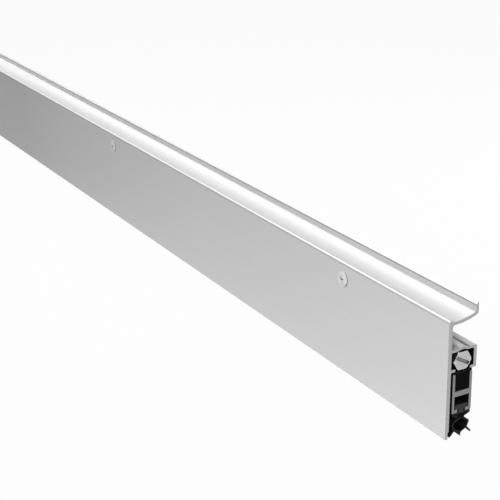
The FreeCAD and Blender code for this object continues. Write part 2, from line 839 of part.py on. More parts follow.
def bearing_block(name, x):
    block = new_body(name)
    groove_half = S.rod_width / 2 + S.rod_side_gap
    saddle = [
        corner(-block_half, block_bottom),
        corner(block_half, block_bottom),
        corner(block_half, block_top),
        corner(groove_half, block_top),
        corner(groove_half, groove_floor),
        corner(-groove_half, groove_floor),
        corner(-groove_half, block_top),
        corner(-block_half, block_top),
    ]
    sketch = draw(block, SECTION, [saddle], offset=(ZERO, ZERO, -block_rear))
    pad(block, sketch, block_rear + block_fore, middle=False)
    cheek_bottom = pivot_z - S.cheek_drop
    leg_bottom = web_top + S.leg_gap
    leg_end = -(block_rear_slot + S.leg_length)
    cheeks = [
        corner(S.cheek_fore, block_bottom),
        corner(leg_end, block_bottom),
        corner(leg_end, leg_bottom),
        corner(-S.cheek_rear, leg_bottom),
        corner(-S.cheek_rear, cheek_bottom),
        corner(S.cheek_fore, cheek_bottom, S.cheek_round),
    ]
    pad(block, draw(block, SIDE, [cheeks]), cheek_half * 2)
    depth = S.axis_height * 2
    crank_slot = box(-block_rear_slot, -crank_gap_half, block_fore_slot, crank_gap_half)
    cut(block, draw(block, PLAN, [crank_slot]), depth)
    window_half = cheek_half + S.end_play
    window_fore = -(bar_arm - S.hanger_half - S.hanger_guide_gap)
    window = box(-block_rear_slot, -window_half, window_fore, window_half)
    cut(block, draw(block, PLAN, [window]), depth)
    cut(block, draw(block, SIDE, circles=[(ZERO, pivot_z, S.pin_radius)]), cheek_half * 3)
    screw_hole = (fore_screw, block_screw_z, S.block_screw_radius)
    screw_depth = S.block_screw_length - S.back_wall
    side_face = (ZERO, ZERO, -block_half)
    cut(block, draw(block, SIDE, circles=[screw_hole], offset=side_face), screw_depth * 2)
    return place(block, x, axis_y, ZERO)


# Hangers: saddles riveted to the drop bar's web, with a pin between their cheeks for the crank

def hanger(name, x):
    item = new_body(name)
    top = hanger_pin_z + S.hanger_pin_cover
    outline = [
        corner(-S.hanger_half, web_top),
        corner(S.hanger_half, web_top),
        corner(S.hanger_half, top - S.hanger_chamfer),
        corner(S.hanger_half - S.hanger_chamfer, top),
        corner(-S.hanger_half + S.hanger_chamfer, top),
        corner(-S.hanger_half, top - S.hanger_chamfer),
    ]
    pad(item, draw(item, SIDE, [outline]), hanger_outer_half * 2)
    gap = box(-crank_gap_half, web_top + S.hanger_base, crank_gap_half, top + S.hanger_pin_cover)
    cut(item, draw(item, SECTION, [gap]), S.hanger_half * 3)
    cut(item, draw(item, SIDE, circles=[(ZERO, hanger_pin_z, S.pin_radius)]), cheek_half * 3)
    cut(item, draw(item, PLAN, circles=[(ZERO, ZERO, S.rivet_radius)], offset=(ZERO, ZERO, web_top)), S.web_depth)
    return place(item, x, axis_y, ZERO)


def hanger_rivet(index, x):
    """A rivet through the hanger's base and the web, with a head at each end."""
    rivet = new_body("hanger_rivet_%d" % index)
    top = web_top + S.hanger_base
    profile = [
        corner(web_bottom - S.rivet_head_height, 0),
        corner(web_bottom - S.rivet_head_height, S.rivet_head),
        corner(web_bottom, S.rivet_head),
        corner(web_bottom, S.rivet_radius),
        corner(top, S.rivet_radius),
        corner(top, S.rivet_head),
        corner(top + S.rivet_head_height, S.rivet_head),
        corner(top + S.rivet_head_height, 0),
    ]
    turned(rivet, draw(rivet, PLAN, [profile]))
    rivet.Placement = FreeCAD.Placement(Vector(0, 0, 0), FreeCAD.Rotation(Vector(0, 1, 0), -90))
    return place(rivet, x, axis_y, ZERO)


hanger_places = [crank_x - bar_arm, -crank_x - bar_arm]
for end, x, hanger_x in zip(("near", "far"), (crank_x, -crank_x), hanger_places):
    parts.append(bearing_block("bearing_block_" + end, x))
    parts.append(cross_pin("pivot_pin_" + end, S.pin_radius, cheek_half * 2, x, axis_y, pivot_z))
    parts.append(bell_crank("bell_crank_" + end, x))
    parts.append(hanger("hanger_" + end, hanger_x))
    parts.append(cross_pin("hanger_pin_" + end, S.pin_radius, hanger_outer_half * 2, hanger_x, axis_y, hanger_pin_z))
parts.append(group("hanger_rivets", [hanger_rivet(i, x) for i, x in enumerate(hanger_places)]))


# Screws that hold the blocks and the spring stop, from the door's side and flush with the channel

def block_screw(index, x):
    screw = new_body("block_screw_%d" % index)
    profile = sunk_profile(S.block_screw_head, S.block_screw_radius, S.block_screw_length - S.end_play, -1)
    turned(screw, draw(screw, SECTION, [profile]))
    return place(screw, x, ZERO, block_screw_z)


parts.append(group("block_screws", [block_screw(i, x) for i, x in enumerate(block_screw_places)]))


# Spring seat on the rod's far end, and the stop in the case that the spring pushes against

def spring_plate(body, start, length):
    half = cavity_half - S.nut_side_clearance
    outline = box(-half, block_bottom, half, block_top)
    pad(body, draw(body, SECTION, [outline], offset=(ZERO, ZERO, start)), length, middle=False)


def spigot(body, start):
    circle = (ZERO, spring_z, S.spigot_radius)
    pad(body, draw(body, SECTION, circles=[circle], offset=(ZERO, ZERO, start)), S.spigot_length, middle=False)


seat = new_body("spring_seat")
spring_plate(seat, -S.seat_thick, S.seat_thick)
spigot(seat, -S.seat_thick - S.spigot_length)
rod_tongue(seat, ZERO, S.seat_tongue)
cut(seat, draw(seat, SIDE, circles=[(S.seat_pin_inset, rod_pin_z, S.pin_radius)]), S.rod_width)
parts.append(place(seat, seat_face, axis_y, ZERO))

stop = new_body("spring_stop")
spring_plate(stop, -S.stop_length, S.stop_length)
spigot(stop, ZERO)
stop_hole = (-S.stop_length / 2, block_screw_z, S.block_screw_radius)
stop_side = (ZERO, ZERO, -nut_half)
stop_hole_depth = S.block_screw_length - S.back_wall - S.nut_side_clearance
cut(stop, draw(stop, SIDE, circles=[stop_hole], offset=stop_side), stop_hole_depth * 2)
parts.append(place(stop, stop_face, axis_y, ZERO))


def spring_shape():
    """A compression spring with a closed and ground coil at each end, along +X from its first end."""
    wire = S.spring_wire.value / 2
    length = S.spring_length.value
    radius = S.spring_outside.value / 2 - wire
    turns = S.spring_turns.value
    first = wire / 2
    closed_rise = wire * 2
    open_rise = (length - first * 2 - closed_rise * 2) / (turns - 2)
    stations = [i / 16 for i in range(int(turns * 16) + 1)]
    rings = []
    for turn in stations:
        opened = min(max(turn - 1, 0), turns - 2)
        along = first + closed_rise * (turn - opened) + open_rise * opened
        around = 2 * math.pi * turn
        ring = []
        for corner_number in range(6):
            tilt = math.pi / 3 * corner_number
            reach = radius + wire * math.sin(tilt)
            ground = min(max(along + wire * math.cos(tilt), 0), length)
            ring.append(Vector(ground, reach * math.cos(around), reach * math.sin(around)))
        rings.append(ring)
    faces = []
    for here, there in zip(rings, rings[1:]):
        for i in range(6):
            faces.append((here[i], here[i - 1], there[i]))
            faces.append((here[i - 1], there[i - 1], there[i]))
    for i in range(1, 5):
        faces.append((rings[0][0], rings[0][i], rings[0][i + 1]))
        faces.append((rings[-1][0], rings[-1][i + 1], rings[-1][i]))
    shell = Part.Shell([Part.Face(Part.makePolygon([*face, face[0]])) for face in faces])
    solid = Part.Solid(shell)
    if solid.Volume < 0:
        solid.reverse()
    return solid


spring = doc.addObject("Part::Feature", "return_spring")
spring.Label = "return_spring"
spring.Shape = spring_shape()
parts.append(place(spring, stop_face, axis_y, spring_z))


# Drop bar: two legs and a web, with an inward foot on each leg that holds the gasket's head

bar = new_body("drop_bar")
slot_half = S.gasket_slot / 2
bar_outline = [
    corner(-bar_half, foot_bottom, S.edge_round),
    corner(-slot_half, foot_bottom, S.edge_round),
    corner(-slot_half, foot_top, S.edge_round),
    corner(-bar_inner_half, foot_top),
    corner(-bar_inner_half, web_bottom),
    corner(bar_inner_half, web_bottom),
    corner(bar_inner_half, foot_top),
    corner(slot_half, foot_top, S.edge_round),
    corner(slot_half, foot_bottom, S.edge_round),
    corner(bar_half, foot_bottom, S.edge_round),
    corner(bar_half, bar_top, S.edge_round),
    corner(bar_inner_half, bar_top, S.edge_round),
    corner(bar_inner_half, web_top),
    corner(-bar_inner_half, web_top),
    corner(-bar_inner_half, bar_top, S.edge_round),
    corner(-bar_half, bar_top, S.edge_round),
]
pad(bar, draw(bar, SECTION, [bar_outline]), S.case_length)
bar_holes = [(x, -S.bar_offset, S.rivet_radius) for x in hanger_places]
cut(bar, draw(bar, PLAN, circles=bar_holes, offset=(ZERO, ZERO, web_top)), S.web_thick * 3)
parts.append(place(bar, ZERO, bar_y, ZERO))


# End plugs: black blocks pressed between the drop bar's legs at both ends, with a cap over each leg

def end_plug(name, start):
    plug = new_body(name)
    outline = [
        corner(-bar_inner_half, web_top),
        corner(bar_inner_half, web_top),
        corner(bar_inner_half, bar_top),
        corner(cap_half, bar_top),
        corner(cap_half, cap_top),
        corner(bar_inner_half - S.plug_chamfer, cap_top),
        corner(bar_inner_half - S.plug_chamfer * 2, plug_top),
        corner(-bar_inner_half + S.plug_chamfer * 2, plug_top),
        corner(-bar_inner_half + S.plug_chamfer, cap_top),
        corner(-cap_half, cap_top),
        corner(-cap_half, bar_top),
        corner(-bar_inner_half, bar_top),
    ]
    pad(plug, draw(plug, SECTION, [outline]), S.plug_length, middle=False)
    return place(plug, start, bar_y, ZERO)


plug_top = -(hex_corner + S.plug_top_gap)
cap_top = hook_bottom - S.plug_cap_gap
cap_half = bar_half - S.plug_cap_inset
parts.append(end_plug("end_plug_near", half_length - S.plug_inset - S.plug_length))
parts.append(end_plug("end_plug_far", -half_length + S.plug_inset))


# Gasket: soft extrusion with a head in the drop bar's slot, a pinched neck, a hollow bulb and three fins

gasket = new_body("gasket")
head_half = S.gasket_head_width / 2
stem_half = slot_half - S.gasket_stem_gap
base_half = S.gasket_base_width / 2
neck_half = S.gasket_neck_width / 2
base_top = foot_bottom - S.gasket_base_gap
neck_z = foot_bottom - S.gasket_neck_drop
shoulder_z = neck_z - S.gasket_waist
bulb_z = shoulder_z - S.bulb_shoulder
shoulder = side(S.bulb_radius, S.bulb_shoulder)
gasket_outline = [
    corner(-head_half, foot_top),
    corner(-head_half, foot_top + S.gasket_head_height, S.edge_round),
    corner(head_half, foot_top + S.gasket_head_height, S.edge_round),
    corner(head_half, foot_top),
    corner(stem_half, foot_top),
    corner(stem_half, base_top),
    corner(base_half, base_top),
    corner(base_half, base_top - S.gasket_base_thick),
    corner(neck_half, neck_z),
    corner(shoulder, shoulder_z, bend=bend(S.bulb_radius, RIGHT, large=True)),
    corner(-shoulder, shoulder_z),
    corner(-neck_half, neck_z),
    corner(-base_half, base_top - S.gasket_base_thick),
    corner(-base_half, base_top),
    corner(-stem_half, base_top),
    corner(-stem_half, foot_top),
]
hollow_radius = S.bulb_radius - S.bulb_wall
hollow_half = side(hollow_radius, S.bulb_shoulder)
hollow = [
    corner(hollow_half, shoulder_z, bend=bend(hollow_radius, RIGHT, large=True)),
    corner(-hollow_half, shoulder_z),
    corner(-S.bulb_throat, neck_z - S.bulb_throat),
    corner(S.bulb_throat, neck_z - S.bulb_throat),
]
pad(gasket, draw(gasket, SECTION, [gasket_outline, hollow]), S.case_length)


def side_fin(way):
    """A fin that points down and outwards from the bulb, to one side or the other."""
    dip = S.side_fin_angle
    middle = S.bulb_radius - S.bulb_wall / 2
    root_y = S.side_fin_root
    root_z = bulb_z - side(middle, S.side_fin_root)
    half_y = sine(dip) * S.side_fin_thick / 2
    half_z = cosine(dip) * S.side_fin_thick / 2
    tip_y = root_y + S.side_fin_length * cosine(dip)
    tip_z = root_z - S.side_fin_length * sine(dip)
    return [
        corner((root_y + half_y) * way, root_z + half_z),
        corner((tip_y + half_y / 2) * way, tip_z + half_z / 2),
        corner((tip_y - half_y / 2) * way, tip_z - half_z / 2),
        corner((root_y - half_y) * way, root_z - half_z),
    ]


for way in (-1, 1):
    pad(gasket, draw(gasket, SECTION, [side_fin(way)]), S.case_length)
bulb_bottom = bulb_z - S.bulb_radius + S.bulb_wall / 2
centre_fin = [
    corner(-S.centre_fin_root, bulb_bottom),
    corner(0, bulb_bottom - S.bulb_wall / 2 - S.centre_fin_length),
    corner(S.centre_fin_root / 2, bulb_bottom),
]
pad(gasket, draw(gasket, SECTION, [centre_fin]), S.case_length)
parts.append(place(gasket, ZERO, bar_y, ZERO))


doc.recompute()
for item in doc.Objects:
    if "Invalid" in item.State or "Error" in item.State:
        raise ValueError("%s didn't rebuild: %s" % (item.Label, item.State))
for item in parts:
    if item.Shape.isNull() or not item.Shape.isValid():
        raise ValueError("%s has no valid shape" % item.Label)

os.makedirs("parts", exist_ok=True)
for item in parts:
    item.Shape.exportStep("parts/%s.step" % item.Label)
    bounds = item.Shape.BoundBox
    print(
        "%-20s solids %d  volume %10.1f  X %8.2f %8.2f  Y %7.2f %7.2f  Z %7.2f %7.2f"
        % (
            item.Label, len(item.Shape.Solids), item.Shape.Volume, bounds.XMin, bounds.XMax,
            bounds.YMin, bounds.YMax, bounds.ZMin, bounds.ZMax,
        )
    )
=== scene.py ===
import math

import bpy
from mathutils import Matrix, Vector


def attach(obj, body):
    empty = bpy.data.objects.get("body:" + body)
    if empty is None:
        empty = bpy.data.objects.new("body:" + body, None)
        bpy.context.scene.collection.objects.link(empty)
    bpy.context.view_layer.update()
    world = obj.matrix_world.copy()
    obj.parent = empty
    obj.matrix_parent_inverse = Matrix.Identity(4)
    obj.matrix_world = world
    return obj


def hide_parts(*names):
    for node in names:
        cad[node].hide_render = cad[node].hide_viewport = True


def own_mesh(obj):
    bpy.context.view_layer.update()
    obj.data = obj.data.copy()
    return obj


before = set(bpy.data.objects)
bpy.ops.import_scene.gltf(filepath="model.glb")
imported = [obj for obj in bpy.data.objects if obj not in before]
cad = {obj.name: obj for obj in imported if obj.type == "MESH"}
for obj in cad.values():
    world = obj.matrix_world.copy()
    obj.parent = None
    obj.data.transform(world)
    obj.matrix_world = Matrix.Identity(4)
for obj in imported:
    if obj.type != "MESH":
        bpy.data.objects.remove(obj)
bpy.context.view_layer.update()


# Case: one aluminium extrusion of fascia, coved arm, lip and arched channel, satin anodised and sawn to
# length. The die leaves fine lines along it. The channel that the rod runs in is painted black for its shade,
# and painted light and shade lie on the fascia, lip and roof.

# Lengths are written in mm, and MM turns them into the frame's metres
MM = 0.001
ANODISED = (0.603, 0.603, 0.605)
SAWN = (0.44, 0.44, 0.44)
CHANNEL_SHADE_BLACK = (0.003, 0.003, 0.0033)
PALE_DUST = (0.55, 0.54, 0.52)

# How finely each pattern runs along X, Y and Z, in a metre
DIE_LINES = (2.0, 1900.0, 1900.0)
SAW_MARKS = (1.0, 500.0, 4200.0)
CLOUDS = (6.0, 30.0, 30.0)

# Painted shade darkens the film towards the far end: where that starts and ends along X in mm, how far it goes, and
# to what
FALLOFF_SHADE_START, FALLOFF_SHADE_END, FALLOFF_SHADE_SHARE = 150.0, -350.0, 0.7
FALLOFF_SHADE = (0.81, 0.81, 0.81)

# Faces as boxes of Y and Z in mm, and the painted light and shade over each, as (mm, share) along one axis
# Painted shade: the channel that the rod runs in is painted nearly black for the shade deep inside it
CHANNEL = ((-14.19, -1.55), (-40.0, 5.5))
# Painted light and shade on the channel's roof under the arm: a darker flank, a lighter band, a nearly black line in
# the crease behind the arch, and a slightly darker flat roof
ROOF_RECESS = ((-14.3, 0.1), (4.9, 8.2))
RECESS_SHADES = (
    (-14.1, 0.60), (-10.4, 0.58), (-9.4, 1.0), (-6.7, 1.0), (-6.2, 0.02), (-4.2, 0.02), (-3.4, 0.85), (-1.0, 0.95),
)
# Painted shade on the lip's inner face: a darker line along its foot and a dark line along its top edge
LIP_FACE = ((-2.4, -0.9), (22.4, 25.95))
LIP_SHADES = ((22.5, 0.85), (23.0, 1.04), (25.0, 1.04), (25.3, 0.62), (25.95, 0.62))
# Painted light: the lip's inner face is lighter towards the far end and darker towards the near end
LIP_ALONG = ((-371.0, 1.5), (-50.0, 1.12), (100.0, 0.98), (371.0, 0.80))
# Painted highlight: the lip's bevel is painted a paler colour, as if lit bright along its length
LIP_BEVEL = ((-1.25, -0.35), (25.85, 27.2))
# Painted shade: a thin dark line along the lip's rounded top edge
LIP_EDGE = ((-0.3, 0.1), (26.7, 27.2))
LIP_EDGE_SHADES = ((26.7, 0.4), (27.2, 0.4))
# Painted light and shade on the fascia's face: darker towards the far end, and lighter towards its bottom
FASCIA_FACE = ((-16.6, -16.05), (-38.6, 20.4))
FASCIA_ALONG = (
    (-371.0, 0.76), (-180.0, 0.80), (-90.0, 0.89), (0.0, 0.925), (70.0, 0.945), (130.0, 0.96), (371.0, 0.945),
)
FASCIA_SHADES = ((-38.4, 1.13), (-23.8, 1.075), (-4.5, 1.025), (5.4, 1.0), (20.0, 0.955))
# Painted shade: a darker line along the fascia just under the crest
FASCIA_TOP = ((-16.6, -16.05), (19.3, 20.4))
FASCIA_TOP_SHADES = ((19.3, 1.0), (19.6, 0.78), (20.4, 0.78))


def new_material(name):
    """A material with its node tree and its Principled shader."""
    material = bpy.data.materials.new(name)
    material.use_nodes = True
    return material, material.node_tree, material.node_tree.nodes["Principled BSDF"]


def node(tree, kind, **settings):
    """A new node with its settings."""
    made = tree.nodes.new(kind)
    for name, value in settings.items():
        setattr(made, name, value)
    return made


def feed(tree, socket, value):
    """A socket takes a link, a number or a colour."""
    if isinstance(value, bpy.types.NodeSocket):
        tree.links.new(value, socket)
    elif isinstance(value, tuple) and socket.type == "RGBA":
        socket.default_value = (*value, 1.0)
    else:
        socket.default_value = value


def worked_out(tree, operation, result, *others):
    """One kind of arithmetic on a value and, one after another, on the others."""
    for other in others or (0.0,):
        made = node(tree, "ShaderNodeMath", operation=operation)
        feed(tree, made.inputs[0], result)
        feed(tree, made.inputs[1], other)
        result = made.outputs[0]
    return result


def eased(tree, value, low, high, at_low=0.0, at_high=1.0):
    """A value that goes softly from at_low to at_high while another goes from low to high."""
    made = node(tree, "ShaderNodeMapRange", interpolation_type="SMOOTHSTEP")
    sockets = ("Value", "From Min", "From Max", "To Min", "To Max")
    for socket, number in zip(sockets, (value, low, high, at_low, at_high)):
        feed(tree, made.inputs[socket], number)
    return made.outputs["Result"]


def blended(tree, share, first, second, way="MIX"):
    """A colour that goes from the first to the second as the share goes from 0 to 1."""
    made = node(tree, "ShaderNodeMix", data_type="RGBA", blend_type=way)
    feed(tree, made.inputs["Factor"], share)
    feed(tree, made.inputs["A"], first)
    feed(tree, made.inputs["B"], second)
    return made.outputs["Result"]


def lighter(colour, times):
    """A colour times a number, which darkens it below 1."""
    return tuple(min(1.0, part * times) for part in colour)


def split(tree, vector):
    """The X, Y and Z of a place or a direction."""
    made = node(tree, "ShaderNodeSeparateXYZ")
    feed(tree, made.inputs[0], vector)
    return made.outputs


def within(tree, spot, box, soft=0.05):
    """1 inside a box of (low, high) for Y and for Z in mm, and 0 outside it, with soft edges."""
    masks = []
    for axis, (low, high) in zip("YZ", box):
        masks.append(eased(tree, spot[axis], (low - soft) * MM, (low + soft) * MM))
        masks.append(eased(tree, spot[axis], (high - soft) * MM, (high + soft) * MM, 1.0, 0.0))
    return worked_out(tree, "MULTIPLY", *masks)


def shades(tree, value, stops):
    """A grey that follows a value in metres through stops of (mm, grey)."""
    (first, dark), (last, light) = stops[0], stops[-1]
    share = node(tree, "ShaderNodeMapRange")
    for socket, number in (("Value", value), ("From Min", first * MM), ("From Max", last * MM)):
        feed(tree, share.inputs[socket], number)
    ramp = node(tree, "ShaderNodeValToRGB")
    feed(tree, ramp.inputs["Fac"], share.outputs["Result"])
    elements = ramp.color_ramp.elements
    elements[0].color = (dark, dark, dark, 1.0)
    elements[-1].color = (light, light, light, 1.0)
    for place, grey in stops[1:-1]:
        elements.new((place - first) / (last - first)).color = (grey, grey, grey, 1.0)
    return ramp.outputs["Color"]


def effect(name, inputs, outputs):
    """An empty node group for an effect that several finishes share, with its inner input and output nodes."""
    group = bpy.data.node_groups.new(name, "ShaderNodeTree")
    for label, kind, value in inputs:
        socket = group.interface.new_socket(label, in_out="INPUT", socket_type="NodeSocket" + kind)
        if value is not None:
            socket.default_value = value
    for label, kind in outputs:
        group.interface.new_socket(label, in_out="OUTPUT", socket_type="NodeSocket" + kind)
    return group, node(group, "NodeGroupInput").outputs, node(group, "NodeGroupOutput").inputs


def placed(tree, group, **values):
    """A shared effect, placed in a material with its own values."""
    made = node(tree, "ShaderNodeGroup", node_tree=group)
    for name, value in values.items():
        feed(tree, made.inputs[name], value)
    return made.outputs


def draw_streaks():
    """Streaks: a noise stretched by its own number on each axis."""
    inputs = [("Place", "Vector", None), ("Stretch", "Vector", (1.0, 1.0, 1.0)), ("Detail", "Float", 3.0)]
    group, given, result = effect("streaks", inputs, [("Height", "Float")])
    stretched = node(group, "ShaderNodeVectorMath", operation="MULTIPLY")
    feed(group, stretched.inputs[0], given["Place"])
    feed(group, stretched.inputs[1], given["Stretch"])
    noise = node(group, "ShaderNodeTexNoise")
    noise.inputs["Scale"].default_value = 1.0
    feed(group, noise.inputs["Vector"], stretched.outputs[0])
    feed(group, noise.inputs["Detail"], given["Detail"])
    feed(group, result["Height"], noise.outputs["Fac"])
    return group


def draw_edge_wear():
    """True edges rubbed bright in patches, found by how far a small bevel turns the normal there."""
    inputs = [("Place", "Vector", None), ("Width", "Float", 0.3 * MM), ("Patches", "Float", 300.0)]
    group, given, result = effect("edge_wear", inputs, [("Mask", "Float"), ("Normal", "Vector")])
    bevel = node(group, "ShaderNodeBevel", samples=4)
    feed(group, bevel.inputs["Radius"], given["Width"])
    turned = node(group, "ShaderNodeVectorMath", operation="DOT_PRODUCT")
    feed(group, turned.inputs[0], bevel.outputs["Normal"])
    feed(group, turned.inputs[1], node(group, "ShaderNodeNewGeometry").outputs["True Normal"])
    edge = eased(group, turned.outputs["Value"], 0.999, 0.93)
    patches = node(group, "ShaderNodeTexNoise")
    feed(group, patches.inputs["Vector"], given["Place"])
    feed(group, patches.inputs["Scale"], given["Patches"])
    feed(group, result["Mask"], worked_out(group, "MULTIPLY", edge, eased(group, patches.outputs["Fac"], 0.35, 0.65)))
    feed(group, result["Normal"], bevel.outputs["Normal"])
    return group


def draw_dust():
    """Dust that settles in patches on the faces that look up."""
    inputs = [("Place", "Vector", None), ("Amount", "Float", 0.3)]
    group, given, result = effect("settled_dust", inputs, [("Mask", "Float")])
    up = eased(group, split(group, node(group, "ShaderNodeNewGeometry").outputs["Normal"])["Z"], 0.2, 1.0)
    patches = node(group, "ShaderNodeTexNoise")
    feed(group, patches.inputs["Vector"], given["Place"])
    patches.inputs["Scale"].default_value = 120.0
    patches.inputs["Detail"].default_value = 6.0
    settled = eased(group, patches.outputs["Fac"], 0.4, 0.75)
    feed(group, result["Mask"], worked_out(group, "MULTIPLY", up, settled, given["Amount"]))
    return group


streaks = draw_streaks()
edge_wear = draw_edge_wear()
settled_dust = draw_dust()


def raise_grain(tree, shader, height, depth, normal=None):
    """A fine relief of a height pattern on the surface, over the rounded edges' normal where there is one."""
    bump = node(tree, "ShaderNodeBump")
    bump.inputs["Strength"].default_value = 0.6
    bump.inputs["Distance"].default_value = depth
    feed(tree, bump.inputs["Height"], height)
    if normal is not None:
        feed(tree, bump.inputs["Normal"], normal)
    feed(tree, shader.inputs["Normal"], bump.outputs["Normal"])


def end_cut(tree, coordinates):
    """1 on the cut ends of a piece that lies along X."""
    normal = split(tree, coordinates.outputs["Normal"])
    return eased(tree, worked_out(tree, "ABSOLUTE", normal["X"]), 0.6, 0.9)


def extruded_aluminium(name, colour, sawn_colour, channel, shaded=(), brightened=None):
    """Satin anodised extrusion with die lines and sawn ends. Painted shade blacks its channel and darkens it towards
    the far end, and painted light and shade lie over some faces. shaded lists these: a box, the axis it is shaded
    along, and its stops. brightened is the box of a painted highlight."""
    material, tree, shader = new_material(name)
    coordinates = node(tree, "ShaderNodeTexCoord")
    place = coordinates.outputs["Object"]
    spot = split(tree, place)
    sawn = end_cut(tree, coordinates)
    wear = placed(tree, edge_wear, Place=place, Width=0.22 * MM, Patches=500.0)
    die_lines = placed(tree, streaks, Place=place, Stretch=DIE_LINES)["Height"]
    saw_marks = placed(tree, streaks, Place=place, Stretch=SAW_MARKS)["Height"]
    clouds = placed(tree, streaks, Place=place, Stretch=CLOUDS)["Height"]
    anodised = blended(tree, die_lines, lighter(colour, 0.95), lighter(colour, 1.05))
    # Painted shade: the colour is darker towards the far end
    falloff_shade = eased(tree, spot["X"], FALLOFF_SHADE_START * MM, FALLOFF_SHADE_END * MM, 0.0, FALLOFF_SHADE_SHARE)
    anodised = blended(tree, falloff_shade, anodised, FALLOFF_SHADE, "MULTIPLY")
    # Painted light and shade over each listed box of faces
    for box, axis, stops in shaded:
        painted_light_and_shade = blended(tree, 1.0, anodised, shades(tree, spot[axis], stops), "MULTIPLY")
        anodised = blended(tree, within(tree, spot, box), anodised, painted_light_and_shade)
    # Painted highlight: the brightened box gets a paler colour
    if brightened is not None:
        anodised = blended(tree, within(tree, spot, brightened), anodised, lighter(colour, 1.4))
    anodised = blended(tree, wear["Mask"], anodised, lighter(colour, 1.25))
    cut = blended(tree, saw_marks, lighter(sawn_colour, 0.86), lighter(sawn_colour, 1.14))
    # Painted shade: inside the channel the colour is nearly black
    black = within(tree, spot, channel)
    finish = blended(tree, black, anodised, CHANNEL_SHADE_BLACK)
    finish = blended(tree, sawn, finish, cut)
    dust = placed(tree, settled_dust, Place=place, Amount=0.06)["Mask"]
    feed(tree, shader.inputs["Base Color"], blended(tree, dust, finish, PALE_DUST))
    bare = worked_out(tree, "MAXIMUM", sawn, worked_out(tree, "SUBTRACT", 1.0, black))
    feed(tree, shader.inputs["Metallic"], worked_out(tree, "MULTIPLY", bare, 0.25))
    feed(tree, shader.inputs["Roughness"], eased(tree, clouds, 0.25, 0.75, 0.38, 0.46))
    shader.inputs["Specular IOR Level"].default_value = 0.12
    raise_grain(tree, shader, blended(tree, sawn, die_lines, saw_marks), 0.015 * MM, wear["Normal"])
    return material


def finished(piece, material):
    """A piece gets its one material."""
    piece.data.materials.clear()
    piece.data.materials.append(material)


finished(cad["case"], extruded_aluminium("case_aluminium", ANODISED, SAWN, CHANNEL, (
    (ROOF_RECESS, "Y", RECESS_SHADES),
    (LIP_FACE, "Z", LIP_SHADES),
    (LIP_FACE, "X", LIP_ALONG),
    (LIP_EDGE, "Z", LIP_EDGE_SHADES),
    (FASCIA_FACE, "X", FASCIA_ALONG),
    (FASCIA_FACE, "Z", FASCIA_SHADES),
    (FASCIA_TOP, "Z", FASCIA_TOP_SHADES),
), LIP_BEVEL))


# Spring stop: a block moulded in black nylon, in the far end of the channel. It backs the return spring, and
# a screw from the door's side holds it.

NYLON = (0.0025, 0.0025, 0.0028)
# The black nylon's paler edges are partly wear and partly a painted highlight along its edges
NYLON_WEAR_AND_HIGHLIGHT = (0.08, 0.08, 0.081)
PLASTIC_DUST = (0.2, 0.195, 0.19)
SPARK_GRAIN = (2600.0, 2600.0, 2600.0)


def moulded(name, colour, roughness, gloss, dust, brightened):
    """Moulded plastic: a fine spark-eroded grain, soft rubbed edges and a little dust."""
    material, tree, shader = new_material(name)
    place = node(tree, "ShaderNodeTexCoord").outputs["Object"]
    wear = placed(tree, edge_wear, Place=place, Width=0.5 * MM, Patches=700.0)
    grain = placed(tree, streaks, Place=place, Stretch=SPARK_GRAIN, Detail=2.0)["Height"]
    skin = blended(tree, grain, lighter(colour, 0.8), lighter(colour, 1.2))
    skin = blended(tree, wear["Mask"], skin, brightened)
    settled = placed(tree, settled_dust, Place=place, Amount=dust)["Mask"]
    feed(tree, shader.inputs["Base Color"], blended(tree, settled, skin, PLASTIC_DUST))
    feed(tree, shader.inputs["Roughness"], eased(tree, grain, 0.3, 0.7, roughness - 0.06, roughness + 0.06))
    shader.inputs["Specular IOR Level"].default_value = gloss
    raise_grain(tree, shader, grain, 0.02 * MM, wear["Normal"])
    return material


# On black nylon the paler rubbed edges are partly wear and partly a painted highlight
black_nylon = moulded("black_nylon", NYLON, roughness=0.6, gloss=0.03, dust=0.02, brightened=NYLON_WEAR_AND_HIGHLIGHT)
finished(cad["spring_stop"], black_nylon)


# Return spring: eight turns of 0.9 mm spring wire with closed, ground ends, coiled cold and oiled. It
# stands between the stop and the rod's seat, and pushes the rod back when the door opens.

AXIS_Y = -7.870682
SPRING_Z = 0.725
SPRING_START = -297.13
SPRING_LENGTH = 30.0
SPRING_RADIUS = 3.15
WIRE = 0.9
OPEN_TURNS = 6
WIRE_SIDES = 10
TURN_STEPS = 24
SPRING_STEEL = (0.20, 0.20, 0.205)
METAL_DUST = (0.4, 0.39, 0.37)


def select_only(*pieces):
    """Only these pieces are selected, and the last is the active one."""
    bpy.ops.object.select_all(action="DESELECT")
    for piece in pieces:
        piece.select_set(True)
        bpy.context.view_layer.objects.active = piece


def named(name):
    """The piece just added, and its mesh, get a name."""
    piece = bpy.context.object
    piece.name = name
    piece.data.name = name
    return piece


def edit():
    """Into edit mode, on the active piece."""
    bpy.ops.object.mode_set(mode="EDIT")


def done():
    """Back to object mode."""
    bpy.ops.object.mode_set(mode="OBJECT")


def apply_modifier(piece, kind, **settings):
    """A modifier with its settings goes into the piece's mesh."""
    select_only(piece)
    modifier = piece.modifiers.new(kind.lower(), kind)
    for name, value in settings.items():
        setattr(modifier, name, value)
    bpy.ops.object.modifier_apply(modifier=modifier.name)


def settle(piece):
    """The piece's place goes into its mesh, and its object to the origin."""
    select_only(piece)
    bpy.ops.object.transform_apply(location=True, rotation=True, scale=True)


def close_ends(piece):
    """Each open end of a tube or a ridge gets a face."""
    select_only(piece)
    edit()
    bpy.ops.mesh.select_mode(type="EDGE")
    bpy.ops.mesh.select_all(action="DESELECT")
    bpy.ops.mesh.select_non_manifold()
    bpy.ops.mesh.edge_face_add()
    done()


